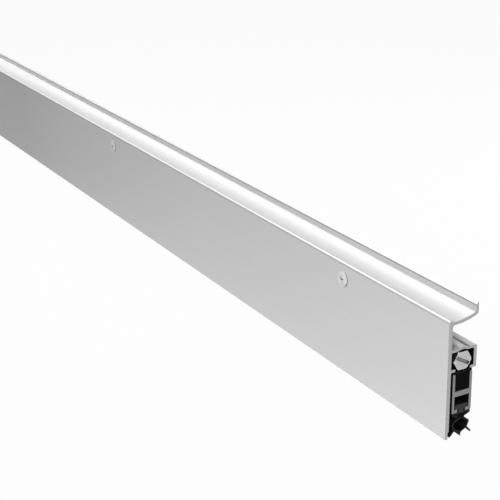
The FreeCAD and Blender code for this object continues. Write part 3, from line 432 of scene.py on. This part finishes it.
def tidy_mesh(piece, smooth=35):
    """Doubles merged, faces outward and the curved ones smooth."""
    select_only(piece)
    edit()
    bpy.ops.mesh.select_all(action="SELECT")
    bpy.ops.mesh.remove_doubles(threshold=1e-6)
    bpy.ops.mesh.normals_make_consistent(inside=False)
    done()
    bpy.ops.object.shade_smooth_by_angle(angle=math.radians(smooth))


def join(*pieces):
    """All the pieces become one, which is the first."""
    select_only(*reversed(pieces))
    bpy.ops.object.join()
    return pieces[0]


def coil(start, turns, pitch):
    """Turns of wire round the spring's axis: a circle of wire carried round by the screw modifier."""
    bpy.ops.object.select_all(action="DESELECT")
    bpy.ops.mesh.primitive_circle_add(
        vertices=WIRE_SIDES, radius=WIRE / 2 * MM, location=(0, 0, SPRING_RADIUS * MM), rotation=(math.pi / 2, 0, 0),
    )
    piece = named("coil")
    settle(piece)
    apply_modifier(
        piece, "SCREW", axis="X", angle=math.tau * turns, screw_offset=turns * pitch * MM,
        steps=TURN_STEPS * turns, render_steps=TURN_STEPS * turns, use_smooth_shade=True, use_normal_calculate=True,
    )
    piece.location = Vector((start, AXIS_Y, SPRING_Z)) * MM
    settle(piece)
    return piece


# A quarter of the wire is ground off at each end, and each end turn lies against the next one
ground_off = WIRE / 4
open_pitch = (SPRING_LENGTH - WIRE * 3 + ground_off * 2) / OPEN_TURNS
first = SPRING_START + WIRE / 2 - ground_off
spring = join(
    coil(first, 1, WIRE),
    coil(first + WIRE, OPEN_TURNS, open_pitch),
    coil(first + WIRE + open_pitch * OPEN_TURNS, 1, WIRE),
)
spring.name = "spring_coils"
edit()
bpy.ops.mesh.select_all(action="SELECT")
bpy.ops.mesh.remove_doubles(threshold=0.02 * MM)
for place, way in ((SPRING_START + 0.01, 1), (SPRING_START + SPRING_LENGTH - 0.01, -1)):
    bpy.ops.mesh.select_all(action="SELECT")
    bpy.ops.mesh.bisect(
        plane_co=(place * MM, 0, 0), plane_no=(way, 0, 0), use_fill=True, clear_inner=True, threshold=1e-7,
    )
done()
close_ends(spring)
tidy_mesh(spring)


def worked_metal(name, colour, roughness, stretch):
    """Plated or drawn metal: fine lines from its working, bright rubbed edges and a little dust."""
    material, tree, shader = new_material(name)
    place = node(tree, "ShaderNodeTexCoord").outputs["Object"]
    wear = placed(tree, edge_wear, Place=place, Width=0.15 * MM, Patches=900.0)
    lines = placed(tree, streaks, Place=place, Stretch=stretch)["Height"]
    clouds = placed(tree, streaks, Place=place, Stretch=(180.0, 180.0, 180.0))["Height"]
    metal = blended(tree, lines, lighter(colour, 0.88), lighter(colour, 1.12))
    metal = blended(tree, wear["Mask"], metal, lighter(colour, 1.35))
    dust = placed(tree, settled_dust, Place=place, Amount=0.05)["Mask"]
    feed(tree, shader.inputs["Base Color"], blended(tree, dust, metal, METAL_DUST))
    feed(tree, shader.inputs["Roughness"], eased(tree, clouds, 0.3, 0.7, roughness - 0.05, roughness + 0.08))
    shader.inputs["Metallic"].default_value = 0.85
    raise_grain(tree, shader, lines, 0.01 * MM, wear["Normal"])
    return material


spring_steel = worked_metal("spring_steel", SPRING_STEEL, roughness=0.28, stretch=(4000.0, 900.0, 900.0))
finished(spring, spring_steel)
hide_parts("return_spring")
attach(spring, "housing")
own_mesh(spring)


# Bearing blocks: black nylon mouldings that fill the channel round the rod. Each holds a zinc plated steel
# pivot pin, pressed through its cheeks, and guides the hanger with its legs.

ZINC = (0.42, 0.425, 0.43)

zinc_plate = worked_metal("zinc_plate", ZINC, roughness=0.34, stretch=(900.0, 2500.0, 2500.0))
for end in ("near", "far"):
    finished(cad["bearing_block_" + end], black_nylon)
    finished(cad["pivot_pin_" + end], zinc_plate)


# Block screws: three short countersunk steel screws with a cross recess, driven from the door's side into
# the blocks and the stop. Cold headed, rolled and zinc plated.

BLOCK_SCREW_NEAR, BLOCK_SCREW_FAR, BLOCK_SCREW_STOP = 250.27, -229.73, -303.13
BLOCK_SCREW_TOP = -0.03
BLOCK_SCREW_Z = -1.7
BLOCK_HEAD = 2.28
BLOCK_CORE = 1.2
CROSS_TAPER = 0.45
SCREW_ZINC = (0.50, 0.50, 0.50)


def drawn_line(spots):
    """A vertex at the first spot in mm, extruded from spot to spot."""
    bpy.ops.object.select_all(action="DESELECT")
    bpy.ops.mesh.primitive_plane_add(size=MM, location=spots[0] * MM)
    piece = named("line")
    settle(piece)
    edit()
    bpy.ops.mesh.select_mode(type="VERT")
    bpy.ops.mesh.select_all(action="SELECT")
    bpy.ops.mesh.merge(type="CENTER")
    for before, after in zip(spots, spots[1:]):
        bpy.ops.mesh.extrude_vertices_move(TRANSFORM_OT_translate={"value": (after - before) * MM})
    return piece


def spun(name, outline, middle, way="Y", steps=40):
    """A turned piece: half its section, as (along, radius) in mm from the middle, spun round a line along
    X or Y through the middle."""
    line = Vector((way == "X", way == "Y", 0))
    piece = drawn_line([Vector(middle) + line * along + Vector((0, 0, radius)) for along, radius in outline])
    bpy.ops.mesh.select_all(action="SELECT")
    bpy.ops.mesh.spin(steps=steps, angle=math.tau, center=Vector(middle) * MM, axis=line, use_auto_merge=True)
    done()
    piece.name = name
    tidy_mesh(piece)
    return piece


def pick(piece, chosen, kind="vertices"):
    """In edit mode, only the vertices, edges or faces that chosen accepts are selected."""
    bpy.ops.mesh.select_mode(type={"vertices": "VERT", "edges": "EDGE", "polygons": "FACE"}[kind])
    bpy.ops.mesh.select_all(action="DESELECT")
    done()
    for item in getattr(piece.data, kind):
        item.select = chosen(item)
    edit()


def take(piece, tool, operation):
    """The piece keeps what lies outside the tool, or inside it, and the tool goes."""
    apply_modifier(piece, "BOOLEAN", object=tool, operation=operation, solver="EXACT")
    bpy.data.objects.remove(tool, do_unlink=True)
    tidy_mesh(piece)


def cut_cross(piece, middle, half_length, half_width, depth, way):
    """A cross recess with tapered wings, cut by a punch that is shaped from a cube. way is -1 for a head
    that looks towards -Y."""
    centre = Vector(middle) * MM
    bpy.ops.object.select_all(action="DESELECT")
    bpy.ops.mesh.primitive_cube_add(size=1, location=centre)
    punch = named("cross_punch")
    punch.scale = Vector((half_width, depth, half_width)) * 2 * MM
    settle(punch)
    edit()
    for direction in (Vector((1, 0, 0)), Vector((-1, 0, 0)), Vector((0, 0, 1)), Vector((0, 0, -1))):
        wing = direction * (half_length - half_width) * MM
        pick(punch, lambda face: face.normal.dot(direction) > 0.9
             and (face.center - centre).cross(direction).length < half_width * MM, "polygons")
        bpy.ops.mesh.extrude_region_move(TRANSFORM_OT_translate={"value": wing})
    pick(punch, lambda vertex: (vertex.co.y / MM - middle[1]) * way < 0)
    bpy.ops.transform.resize(value=(CROSS_TAPER, 1, CROSS_TAPER), center_override=centre)
    done()
    tidy_mesh(punch)
    take(piece, punch, "DIFFERENCE")


def copied(piece, name, shift):
    """A copy with its own mesh, moved along the case by shift mm."""
    select_only(piece)
    bpy.ops.object.duplicate(linked=False)
    copy = named(name)
    copy.location.x += shift * MM
    settle(copy)
    return copy


head = (BLOCK_SCREW_NEAR, BLOCK_SCREW_TOP, BLOCK_SCREW_Z)
block_screw = spun("block_screw_near", [
    (-5.35, 0.0), (-5.3, 0.5), (-4.9, BLOCK_CORE * 0.85), (-4.6, BLOCK_CORE), (-1.1, BLOCK_CORE),
    (-0.1, BLOCK_HEAD), (-0.02, BLOCK_HEAD - 0.05), (0.0, BLOCK_HEAD - 0.2), (0.0, 0.0),
], head, steps=28)
cut_cross(block_screw, head, half_length=1.35, half_width=0.32, depth=1.0, way=1)
finished(block_screw, worked_metal("screw_zinc", SCREW_ZINC, roughness=0.30, stretch=(2600.0, 400.0, 2600.0)))
block_screws = [
    block_screw,
    copied(block_screw, "block_screw_far", BLOCK_SCREW_FAR - BLOCK_SCREW_NEAR),
    copied(block_screw, "block_screw_stop", BLOCK_SCREW_STOP - BLOCK_SCREW_NEAR),
]
for item in block_screws:
    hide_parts("block_screws")
    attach(item, "housing")


# Bell cranks: blanked from 3.2 mm steel plate with a fork at each end, bored for the pivot and zinc plated.
# The rod's pin moves one fork, and the other drives the hanger's pin down.

for end in ("near", "far"):
    finished(cad["bell_crank_" + end], zinc_plate)


# Push rod: a channel folded from zinc plated strip. The cranks' pins cross it, and rivets hold the white
# acetal spring seat in its far end and the nut block in its near end.

ACETAL = (0.70, 0.70, 0.67)
ACETAL_RUBBED = (0.78, 0.78, 0.75)

white_acetal = moulded("white_acetal", ACETAL, roughness=0.42, gloss=0.4, dust=0.1, brightened=ACETAL_RUBBED)
for name in ("push_rod", "rod_pin_near", "rod_pin_far", "rod_rivets"):
    finished(cad[name], zinc_plate)
for name in ("spring_seat", "nut_block"):
    finished(cad[name], white_acetal)


# Adjusting plunger: turned from 8.8 mm hexagonal steel bar and zinc plated, with a screwdriver slot in its bright
# face and a 6 mm thread rolled behind, its flats and slot floor painted dark for shade. It turns in a nylon
# collar, held by a clip.

PLUNGER_FACE = 371.1
HEX_CORNER = 8.8 / math.sqrt(3)
HEX_LENGTH = 9.0
HEX_CHAMFER = 0.35
SLOT_LENGTH = 8.1
SLOT_WIDTH = 1.75
SLOT_DEPTH = 0.8
SLOT_ROUND = 0.6
SLOT_TILT = 30.0
THREAD_STEPS = 20
FLANK = 0.28
TURNED_STEEL = (0.56, 0.56, 0.565)


def rolled_thread(name, middle, way, start, length, core, height, pitch):
    """A helical ridge along X or Y on a shank: a small section carried round by the screw modifier."""
    line = Vector((way == "X", way == "Y", 0))
    root = Vector((0, 0, core - 0.05))
    crest = Vector((0, 0, core + height))
    flank = line * pitch * FLANK
    ridge = drawn_line([root, flank + crest, flank * 2 + root])
    bpy.ops.mesh.select_all(action="SELECT")
    bpy.ops.mesh.edge_face_add()
    bpy.ops.mesh.delete(type="ONLY_FACE")
    done()
    turns = int(length / pitch - 0.6)
    apply_modifier(
        ridge, "SCREW", axis=way, angle=math.tau * turns, screw_offset=turns * pitch * MM,
        steps=THREAD_STEPS * turns, render_steps=THREAD_STEPS * turns, use_normal_calculate=True,
    )
    ridge.name = name
    ridge.location = (Vector(middle) + line * start) * MM
    settle(ridge)
    close_ends(ridge)
    tidy_mesh(ridge)
    return ridge


def put_together(tree, **parts):
    """A place from its X, Y and Z, each 0 if it isn't given."""
    made = node(tree, "ShaderNodeCombineXYZ")
    for axis, value in parts.items():
        feed(tree, made.inputs[axis], value)
    return made.outputs[0]


def off_axis(tree, **across):
    """How far a place lies from an axis, from its offsets across the axis."""
    made = node(tree, "ShaderNodeVectorMath", operation="LENGTH")
    feed(tree, made.inputs[0], put_together(tree, **across))
    return made.outputs["Value"]


def turned_steel(name, colour):
    """Steel bar with a bright turned face and tool rings about its axis, and painted shade: flats nearly black, slot
    floor darker.
    """
    material, tree, shader = new_material(name)
    coordinates = node(tree, "ShaderNodeTexCoord")
    place = coordinates.outputs["Object"]
    spot = split(tree, place)
    radius = off_axis(tree, Y=worked_out(tree, "SUBTRACT", spot["Y"], AXIS_Y * MM), Z=spot["Z"])
    ring_place = put_together(tree, X=radius, Y=spot["X"])
    rings = placed(tree, streaks, Place=ring_place, Stretch=(3800.0, 400.0, 1.0), Detail=2.0)["Height"]
    wear = placed(tree, edge_wear, Place=place, Width=0.2 * MM, Patches=600.0)
    metal = blended(tree, eased(tree, rings, 0.3, 0.7), lighter(colour, 0.86), lighter(colour, 1.14))
    metal = blended(tree, wear["Mask"], metal, lighter(colour, 1.3))
    ahead = eased(tree, split(tree, coordinates.outputs["Normal"])["X"], 0.4, 0.6)
    # Painted shade: the slot's floor, just behind the face, is darker
    sunk = eased(tree, spot["X"], (PLUNGER_FACE - 0.3) * MM, (PLUNGER_FACE - 0.6) * MM)
    behind = eased(tree, spot["X"], (PLUNGER_FACE - 1.2) * MM, (PLUNGER_FACE - 1.0) * MM)
    slot_floor = worked_out(tree, "MULTIPLY", ahead, sunk, behind)
    metal = blended(tree, slot_floor, metal, lighter(colour, 0.42))
    # Painted shade: all but the face, the flats and the shank, is nearly black
    feed(tree, shader.inputs["Base Color"], blended(tree, ahead, lighter(colour, 0.03), metal))
    feed(tree, shader.inputs["Roughness"], eased(tree, rings, 0.3, 0.7, 0.34, 0.46))
    feed(tree, shader.inputs["Metallic"], eased(tree, ahead, 0.2, 0.8, 0.1, 0.5))
    shader.inputs["Specular IOR Level"].default_value = 0.1
    raise_grain(tree, shader, rings, 0.01 * MM, wear["Normal"])
    return material


finished(cad["plunger_collar"], black_nylon)
finished(cad["retaining_clip"], spring_steel)

face_middle = (PLUNGER_FACE, AXIS_Y, 0)
bpy.ops.object.select_all(action="DESELECT")
bpy.ops.mesh.primitive_cylinder_add(
    vertices=6, radius=HEX_CORNER * MM, depth=HEX_LENGTH * MM, end_fill_type="NGON",
    location=Vector((PLUNGER_FACE - HEX_LENGTH / 2, AXIS_Y, 0)) * MM, rotation=(0, math.pi / 2, 0),
)
plunger = named("plunger")
settle(plunger)
blank = spun("turned_blank", [
    (0.0, 0.0), (0.0, HEX_CORNER - HEX_CHAMFER), (-HEX_CHAMFER, HEX_CORNER), (-HEX_CHAMFER, HEX_CORNER + 0.2),
    (-HEX_LENGTH, HEX_CORNER + 0.2), (-HEX_LENGTH, 0.0),
], face_middle, "X", steps=72)
take(plunger, blank, "INTERSECT")


def runs_inward(edge):
    """True for an edge of the slot's punch along X."""
    start, end = (punch.data.vertices[number].co.x for number in edge.vertices)
    return abs(start - end) > SLOT_DEPTH * MM


bpy.ops.object.select_all(action="DESELECT")
bpy.ops.mesh.primitive_cube_add(size=1)
punch = named("slot_punch")
punch.scale = Vector((SLOT_DEPTH * 2, SLOT_LENGTH, SLOT_WIDTH)) * MM
settle(punch)
edit()
pick(punch, runs_inward, "edges")
bpy.ops.mesh.bevel(offset=SLOT_ROUND * MM, segments=5, affect="EDGES")
bpy.ops.mesh.select_all(action="SELECT")
bpy.ops.transform.rotate(value=math.radians(SLOT_TILT), orient_axis="X", center_override=(0, 0, 0))
done()
punch.location = Vector(face_middle) * MM
settle(punch)
tidy_mesh(punch)
take(plunger, punch, "DIFFERENCE")

shank = spun("shank", [
    (-8.5, 0.0), (-8.5, 2.93), (-15.2, 2.93), (-15.2, 2.2), (-16.1, 2.2), (-16.1, 2.5), (-40.6, 2.5), (-41.05, 2.1),
    (-41.05, 0.0),
], face_middle, "X")
thread = rolled_thread("plunger_thread", face_middle, "X", start=-40.8, length=24.0, core=2.5, height=0.43, pitch=1.0)
plunger = join(plunger, shank, thread)
plunger.name = "plunger"
finished(plunger, turned_steel("plunger_steel", TURNED_STEEL))
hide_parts("adjusting_plunger")
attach(plunger, "plunger")


# Drop bar: an H-shaped aluminium extrusion with an inward foot on each leg, painted nearly black for the shade where
# it slides behind the fascia. Steel hangers are riveted to its web, and black nylon plugs with caps close its ends.

BAR_ANODISED = (0.50, 0.505, 0.51)
BAR_SAWN = (0.26, 0.26, 0.26)
# Painted shade: inside the bar, behind the fascia, the colour is nearly black
BAR_INSIDE = ((-13.0, -2.1), (-30.0, -6.0))

finished(cad["drop_bar"], extruded_aluminium("bar_aluminium", BAR_ANODISED, BAR_SAWN, BAR_INSIDE))
finished(cad["hanger_rivets"], zinc_plate)
for end in ("near", "far"):
    finished(cad["hanger_" + end], zinc_plate)
    finished(cad["hanger_pin_" + end], zinc_plate)
    finished(cad["end_plug_" + end], black_nylon)


# Gasket: a soft black rubber extrusion. Its head slides in the drop bar's slot, and below it are a
# pinched neck, a hollow bulb and three fins that meet the floor.

BAR_Y = -7.440682
GASKET_HALF = 371.0
GASKET_LENGTHS = 28
RUBBER = (0.002, 0.002, 0.0022)
BLOOM = (0.04, 0.04, 0.04)
CUT_RUBBER = (0.05, 0.05, 0.051)
RUBBER_DUST = (0.15, 0.145, 0.14)

# The section's outline from the head's middle to the lowest fin's tip, as (Y from BAR_Y, Z) in mm
HEAD = [
    (0.0, -22.0), (1.7, -22.0), (3.25, -22.02), (3.5, -22.1), (3.6, -22.35), (3.6, -24.05), (3.5, -24.25),
    (1.8, -24.3), (1.5, -24.4), (1.4, -24.65), (1.4, -25.9), (1.5, -26.15), (1.8, -26.25), (2.3, -26.1),
    (4.8, -26.02), (5.02, -26.1), (5.1, -26.3), (5.08, -27.0), (4.95, -27.3), (4.7, -27.5), (2.3, -28.4),
    (1.95, -28.6), (1.82, -28.85),
]
BULB_RIGHT = [
    (1.9, -29.05), (2.2, -29.35), (4.2, -30.95), (4.65, -31.3), (4.8, -31.7), (4.75, -32.2), (4.4, -33.1),
    (4.05, -33.9), (3.85, -34.35), (3.85, -34.7), (4.55, -35.45), (5.4, -36.4), (6.1, -37.2), (6.28, -37.5),
    (6.2, -37.72), (5.95, -37.78), (5.55, -37.65), (4.6, -36.75), (3.75, -35.85), (3.2, -35.3), (2.9, -35.22),
    (1.95, -35.75), (0.95, -36.25), (0.45, -36.55), (0.25, -36.9), (0.05, -38.1), (-0.1, -38.35), (-0.3, -38.3),
]
BULB_LEFT = [
    (-1.9, -29.05), (-2.2, -29.3), (-4.25, -30.9), (-4.85, -31.5), (-5.05, -32.0), (-4.95, -32.5), (-4.6, -33.3),
    (-4.2, -34.2), (-4.2, -34.65), (-4.95, -35.45), (-5.7, -36.3), (-6.35, -37.1), (-6.48, -37.4), (-6.4, -37.65),
    (-6.15, -37.75), (-5.75, -37.6), (-4.8, -36.65), (-3.95, -35.75), (-3.5, -35.3), (-3.1, -35.35),
    (-2.0, -35.95), (-1.3, -36.45), (-0.8, -37.3),
]
HOLLOW = [
    (-0.8, -29.65), (0.8, -29.65), (3.7, -31.5), (4.1, -31.95), (3.8, -32.9), (3.3, -34.0), (2.7, -34.6),
    (1.4, -35.3), (0.2, -35.7), (-1.2, -35.5), (-2.6, -34.8), (-3.3, -34.3), (-3.95, -33.0), (-4.35, -32.05),
    (-3.9, -31.4),
]


def extruded_rubber(name, skin, bloom_colour, cut_colour):
    """Soft black rubber: faint die lines, a grey bloom and a paler cut head; below the head the cut stays black as
    painted shade, with thin grey painted highlights round its rims.
    """
    material, tree, shader = new_material(name)
    coordinates = node(tree, "ShaderNodeTexCoord")
    place = coordinates.outputs["Object"]
    spot = split(tree, place)
    lines = placed(tree, streaks, Place=place, Stretch=(3.0, 1500.0, 1500.0))["Height"]
    bloom = placed(tree, streaks, Place=place, Stretch=(60.0, 200.0, 200.0))["Height"]
    wear = placed(tree, edge_wear, Place=place, Width=0.9 * MM, Patches=200.0)
    rubber = blended(tree, lines, lighter(skin, 0.7), lighter(skin, 1.4))
    rubber = blended(tree, eased(tree, bloom, 0.45, 0.8, 0.0, 0.12), rubber, bloom_colour)
    cut = end_cut(tree, coordinates)
    # The cut is paler on the head and in thin painted highlights round its rims; elsewhere the black cut is painted
    # shade
    head = eased(tree, spot["Z"], -27.0 * MM, -25.9 * MM)
    rim_highlights = eased(tree, wear["Mask"], 0.0, 0.12)
    pale = worked_out(tree, "MULTIPLY", cut, worked_out(tree, "MAXIMUM", head, rim_highlights))
    rubber = blended(tree, pale, rubber, blended(tree, lines, lighter(cut_colour, 0.8), lighter(cut_colour, 1.2)))
    dust = placed(tree, settled_dust, Place=place, Amount=0.05)["Mask"]
    feed(tree, shader.inputs["Base Color"], blended(tree, dust, rubber, RUBBER_DUST))
    feed(tree, shader.inputs["Roughness"], eased(tree, bloom, 0.3, 0.7, 0.58, 0.72))
    shader.inputs["Specular IOR Level"].default_value = 0.05
    raise_grain(tree, shader, lines, 0.03 * MM)
    return material


outline = HEAD + BULB_RIGHT + BULB_LEFT[::-1] + [(-y, z) for y, z in HEAD[:0:-1]]
loops = []
for loop in (outline, HOLLOW):
    loops.append(drawn_line([Vector((-GASKET_HALF, BAR_Y + y, z)) for y, z in loop + loop[:1]]))
    done()
gasket = join(*loops)
gasket.name = "gasket_extrusion"
edit()
bpy.ops.mesh.select_all(action="SELECT")
bpy.ops.mesh.remove_doubles(threshold=1e-6)
bpy.ops.mesh.select_all(action="SELECT")
bpy.ops.mesh.fill(use_beauty=True)
bpy.ops.mesh.select_all(action="SELECT")
one_length = (GASKET_HALF * 2 / GASKET_LENGTHS * MM, 0, 0)
for _ in range(GASKET_LENGTHS):
    bpy.ops.mesh.extrude_region_move(TRANSFORM_OT_translate={"value": one_length})
done()
tidy_mesh(gasket, smooth=40)
finished(gasket, extruded_rubber("black_rubber", RUBBER, BLOOM, CUT_RUBBER))
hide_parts("gasket")
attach(gasket, "seal_bar")


# Fixing screws: three 4 mm wood screws with raised countersunk heads and a cross recess, which hold the
# case to the door through its fascia. Cold headed, rolled and zinc plated, with painted shade under the heads' rims.

SCREW_SPACING = 285.5
SCREW_Z = 12.160341
SCREW_SEAT = -16.041364
SCREW_HEAD = 4.18
SCREW_SHANK = 1.95
SCREW_CORE = 1.5
SCREW_LENGTH = 24.9
CROSS_TOP = 1.05
SCREW_BRIGHT = (0.60, 0.60, 0.60)
# Painted shade under the heads' rims and in their recesses
RIM_PAINTED_SHADE = (0.12, 0.12, 0.12)


def headed_steel(name, colour):
    """Cold headed and zinc plated steel, with fine rings round each head and painted shade at its rim."""
    material, tree, shader = new_material(name)
    place = node(tree, "ShaderNodeTexCoord").outputs["Object"]
    spot = split(tree, place)
    wrapped = node(tree, "ShaderNodeMath", operation="WRAP")
    for socket, value in zip(wrapped.inputs, (spot["X"], SCREW_SPACING / 2 * MM, -SCREW_SPACING / 2 * MM)):
        feed(tree, socket, value)
    along = wrapped.outputs[0]
    rise = worked_out(tree, "SUBTRACT", spot["Z"], SCREW_Z * MM)
    radius = off_axis(tree, X=along, Z=rise)
    ring_place = put_together(tree, X=radius)
    rings = placed(tree, streaks, Place=ring_place, Stretch=(2400.0, 1.0, 1.0), Detail=2.0)["Height"]
    wear = placed(tree, edge_wear, Place=place, Width=0.15 * MM, Patches=900.0)
    metal = blended(tree, rings, lighter(colour, 0.92), lighter(colour, 1.08))
    metal = blended(tree, wear["Mask"], metal, lighter(colour, 1.2))

    # Painted shade at the rim of a head, on its near side
    at_rim = worked_out(
        tree, "MULTIPLY", eased(tree, radius, 3.7 * MM, 3.85 * MM), eased(tree, along, 0.5 * MM, 2.8 * MM),
    )
    # Painted shade on the cone below the rim, but not on the shank
    on_cone = worked_out(
        tree, "MULTIPLY", eased(tree, spot["Y"], (SCREW_SEAT - 0.05) * MM, (SCREW_SEAT + 0.6) * MM),
        eased(tree, spot["Y"], (SCREW_SEAT + 2.5) * MM, (SCREW_SEAT + 4.0) * MM, 1.0, 0.0),
    )
    # Painted shade in the cross recess: most in the wings up, down and to the far side
    in_recess = worked_out(
        tree, "MULTIPLY", eased(tree, spot["Y"], (SCREW_SEAT - 1.0) * MM, (SCREW_SEAT - 0.3) * MM),
        eased(tree, radius, 2.5 * MM, 2.8 * MM, 1.0, 0.0), eased(tree, along, 1.4 * MM, 0.2 * MM),
        eased(tree, worked_out(tree, "ABSOLUTE", rise), 0.6 * MM, 1.0 * MM, 1.0, 0.15),
    )
    painted_shade = worked_out(tree, "MAXIMUM", at_rim, on_cone, in_recess)
    feed(tree, shader.inputs["Base Color"], blended(tree, painted_shade, metal, RIM_PAINTED_SHADE))
    feed(tree, shader.inputs["Roughness"], eased(tree, rings, 0.3, 0.7, 0.34, 0.42))
    shader.inputs["Metallic"].default_value = 0.25
    shader.inputs["Specular IOR Level"].default_value = 0.2
    raise_grain(tree, shader, rings, 0.01 * MM, wear["Normal"])
    return material


seat = (-SCREW_SPACING, SCREW_SEAT, SCREW_Z)
screw = spun("fixing_screw_far", [
    (-1.26, 0.0), (-1.23, 0.7), (-1.13, 1.4), (-0.96, 2.1), (-0.72, 2.8), (-0.42, 3.4), (-0.12, 3.95),
    (0.0, SCREW_HEAD), (0.12, SCREW_HEAD - 0.02), (0.4, SCREW_HEAD - 0.35), (2.2, 2.0), (2.6, SCREW_SHANK),
    (6.4, SCREW_SHANK), (6.9, SCREW_CORE), (21.9, SCREW_CORE), (SCREW_LENGTH, 0.0),
], seat, steps=56)
cross_middle = (-SCREW_SPACING, SCREW_SEAT - CROSS_TOP, SCREW_Z)
cut_cross(screw, cross_middle, half_length=2.3, half_width=0.5, depth=2.0, way=-1)
thread = rolled_thread("thread", seat, "Y", start=6.6, length=15.4, core=SCREW_CORE, height=0.48, pitch=1.8)
screw = join(screw, thread)
screw.name = "fixing_screw_far"
finished(screw, headed_steel("screw_bright", SCREW_BRIGHT))
fixing_screws = [
    screw,
    copied(screw, "fixing_screw_middle", SCREW_SPACING),
    copied(screw, "fixing_screw_near", SCREW_SPACING * 2),
]
for item in fixing_screws:
    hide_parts("fixing_screws")
    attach(item, "housing")


# Studio: a plain pale floor well below the seal, a white surround and four soft disc lamps. The camera, metal and
# glass see the floor and the surround as plain white, and neither sends that light to the seal.

FLOOR_Z = -0.30
FLOOR_SIZE = 30
FLOOR_SHADE = (0.6, 0.6, 0.6)
FLOOR_WHITE = 0.96
AMBIENT = 0.05


def mixed(tree, share, first, second, output):
    """An output gets the first shader or background, and a share of the second."""
    mix = node(tree, "ShaderNodeMixShader")
    feed(tree, mix.inputs["Fac"], share)
    tree.links.new(first, mix.inputs[1])
    tree.links.new(second, mix.inputs[2])
    tree.links.new(mix.outputs[0], output.inputs["Surface"])


def background_rays(tree, most):
    """How much of the plain white background a ray gets: most of it for the camera's own rays and for those
    that come off metal or through glass."""
    rays = node(tree, "ShaderNodeLightPath").outputs
    seen = worked_out(tree, "MAXIMUM", rays["Is Camera Ray"], rays["Is Glossy Ray"], rays["Is Transmission Ray"])
    return worked_out(tree, "MULTIPLY", seen, most)


bpy.ops.object.select_all(action="DESELECT")
bpy.ops.mesh.primitive_plane_add(size=FLOOR_SIZE, location=(0, 0, FLOOR_Z))
floor = named("floor")
settle(floor)
material, tree, shader = new_material("pale_floor")
shader.inputs["Base Color"].default_value = (*FLOOR_SHADE, 1)
shader.inputs["Roughness"].default_value = 0.9
glow = node(tree, "ShaderNodeEmission")
mixed(tree, background_rays(tree, FLOOR_WHITE), shader.outputs[0], glow.outputs[0], tree.nodes["Material Output"])
finished(floor, material)

world = bpy.data.worlds.new("studio")
bpy.context.scene.world = world
world.use_nodes = True
tree = world.node_tree
tree.nodes.clear()
ambient = node(tree, "ShaderNodeBackground")
ambient.inputs["Color"].default_value = (1, 1, 1, 1)
ambient.inputs["Strength"].default_value = AMBIENT
surround = node(tree, "ShaderNodeBackground")
surround.inputs["Color"].default_value = (1, 1, 1, 1)
mixed(tree, background_rays(tree, 1.0), ambient.outputs[0], surround.outputs[0], node(tree, "ShaderNodeOutputWorld"))


def lamp(name, place, target, size, power):
    """A round soft lamp that looks at its target. Metres and watts."""
    bpy.ops.object.light_add(type="AREA", location=place)
    item = bpy.context.object
    item.name = name
    item.data.shape = "DISK"
    item.data.size = size
    item.data.energy = power
    item.rotation_euler = (Vector(target) - Vector(place)).to_track_quat("-Z", "Y").to_euler()


lamp("top_lamp", (-0.8, -0.08, 1.2), target=(0.1, 0, 0), size=1.1, power=17)
lamp("rear_lamp", (-1.55, -0.03, 0.72), target=(-0.1, 0, 0), size=0.8, power=3.7)
lamp("front_lamp", (0.74, -0.5, 0.32), target=(0.36, 0, 0), size=0.5, power=6)
lamp("back_lamp", (-0.2, 1.5, 0.2), target=(0, 0, 0), size=1.0, power=14)


# Camera: a long lens at the photograph's viewing angle, off the near end and a little above it. Its place and its
# three directions follow from the seal's straight edges.

LENS = 91.04
FILM_WIDTH = 36
CAMERA_PLACE = (0.77525, -0.33984, 0.2492)
RIGHT_WAY = Vector((0.49006, 0.87150, -0.01819))
UP_WAY = Vector((-0.29941, 0.18789, 0.93544))
FORWARD = Vector((-0.81865, 0.45298, -0.35302))

bpy.ops.object.camera_add()
camera = bpy.context.object
camera.name = "camera"
camera.data.lens = LENS
camera.data.sensor_width = FILM_WIDTH
camera.data.clip_start = 0.01
turn = Matrix((RIGHT_WAY, UP_WAY, -FORWARD)).transposed().to_4x4()
camera.matrix_world = Matrix.Translation(CAMERA_PLACE) @ turn
bpy.context.scene.camera = camera
bpy.context.scene.view_settings.view_transform = "Standard"
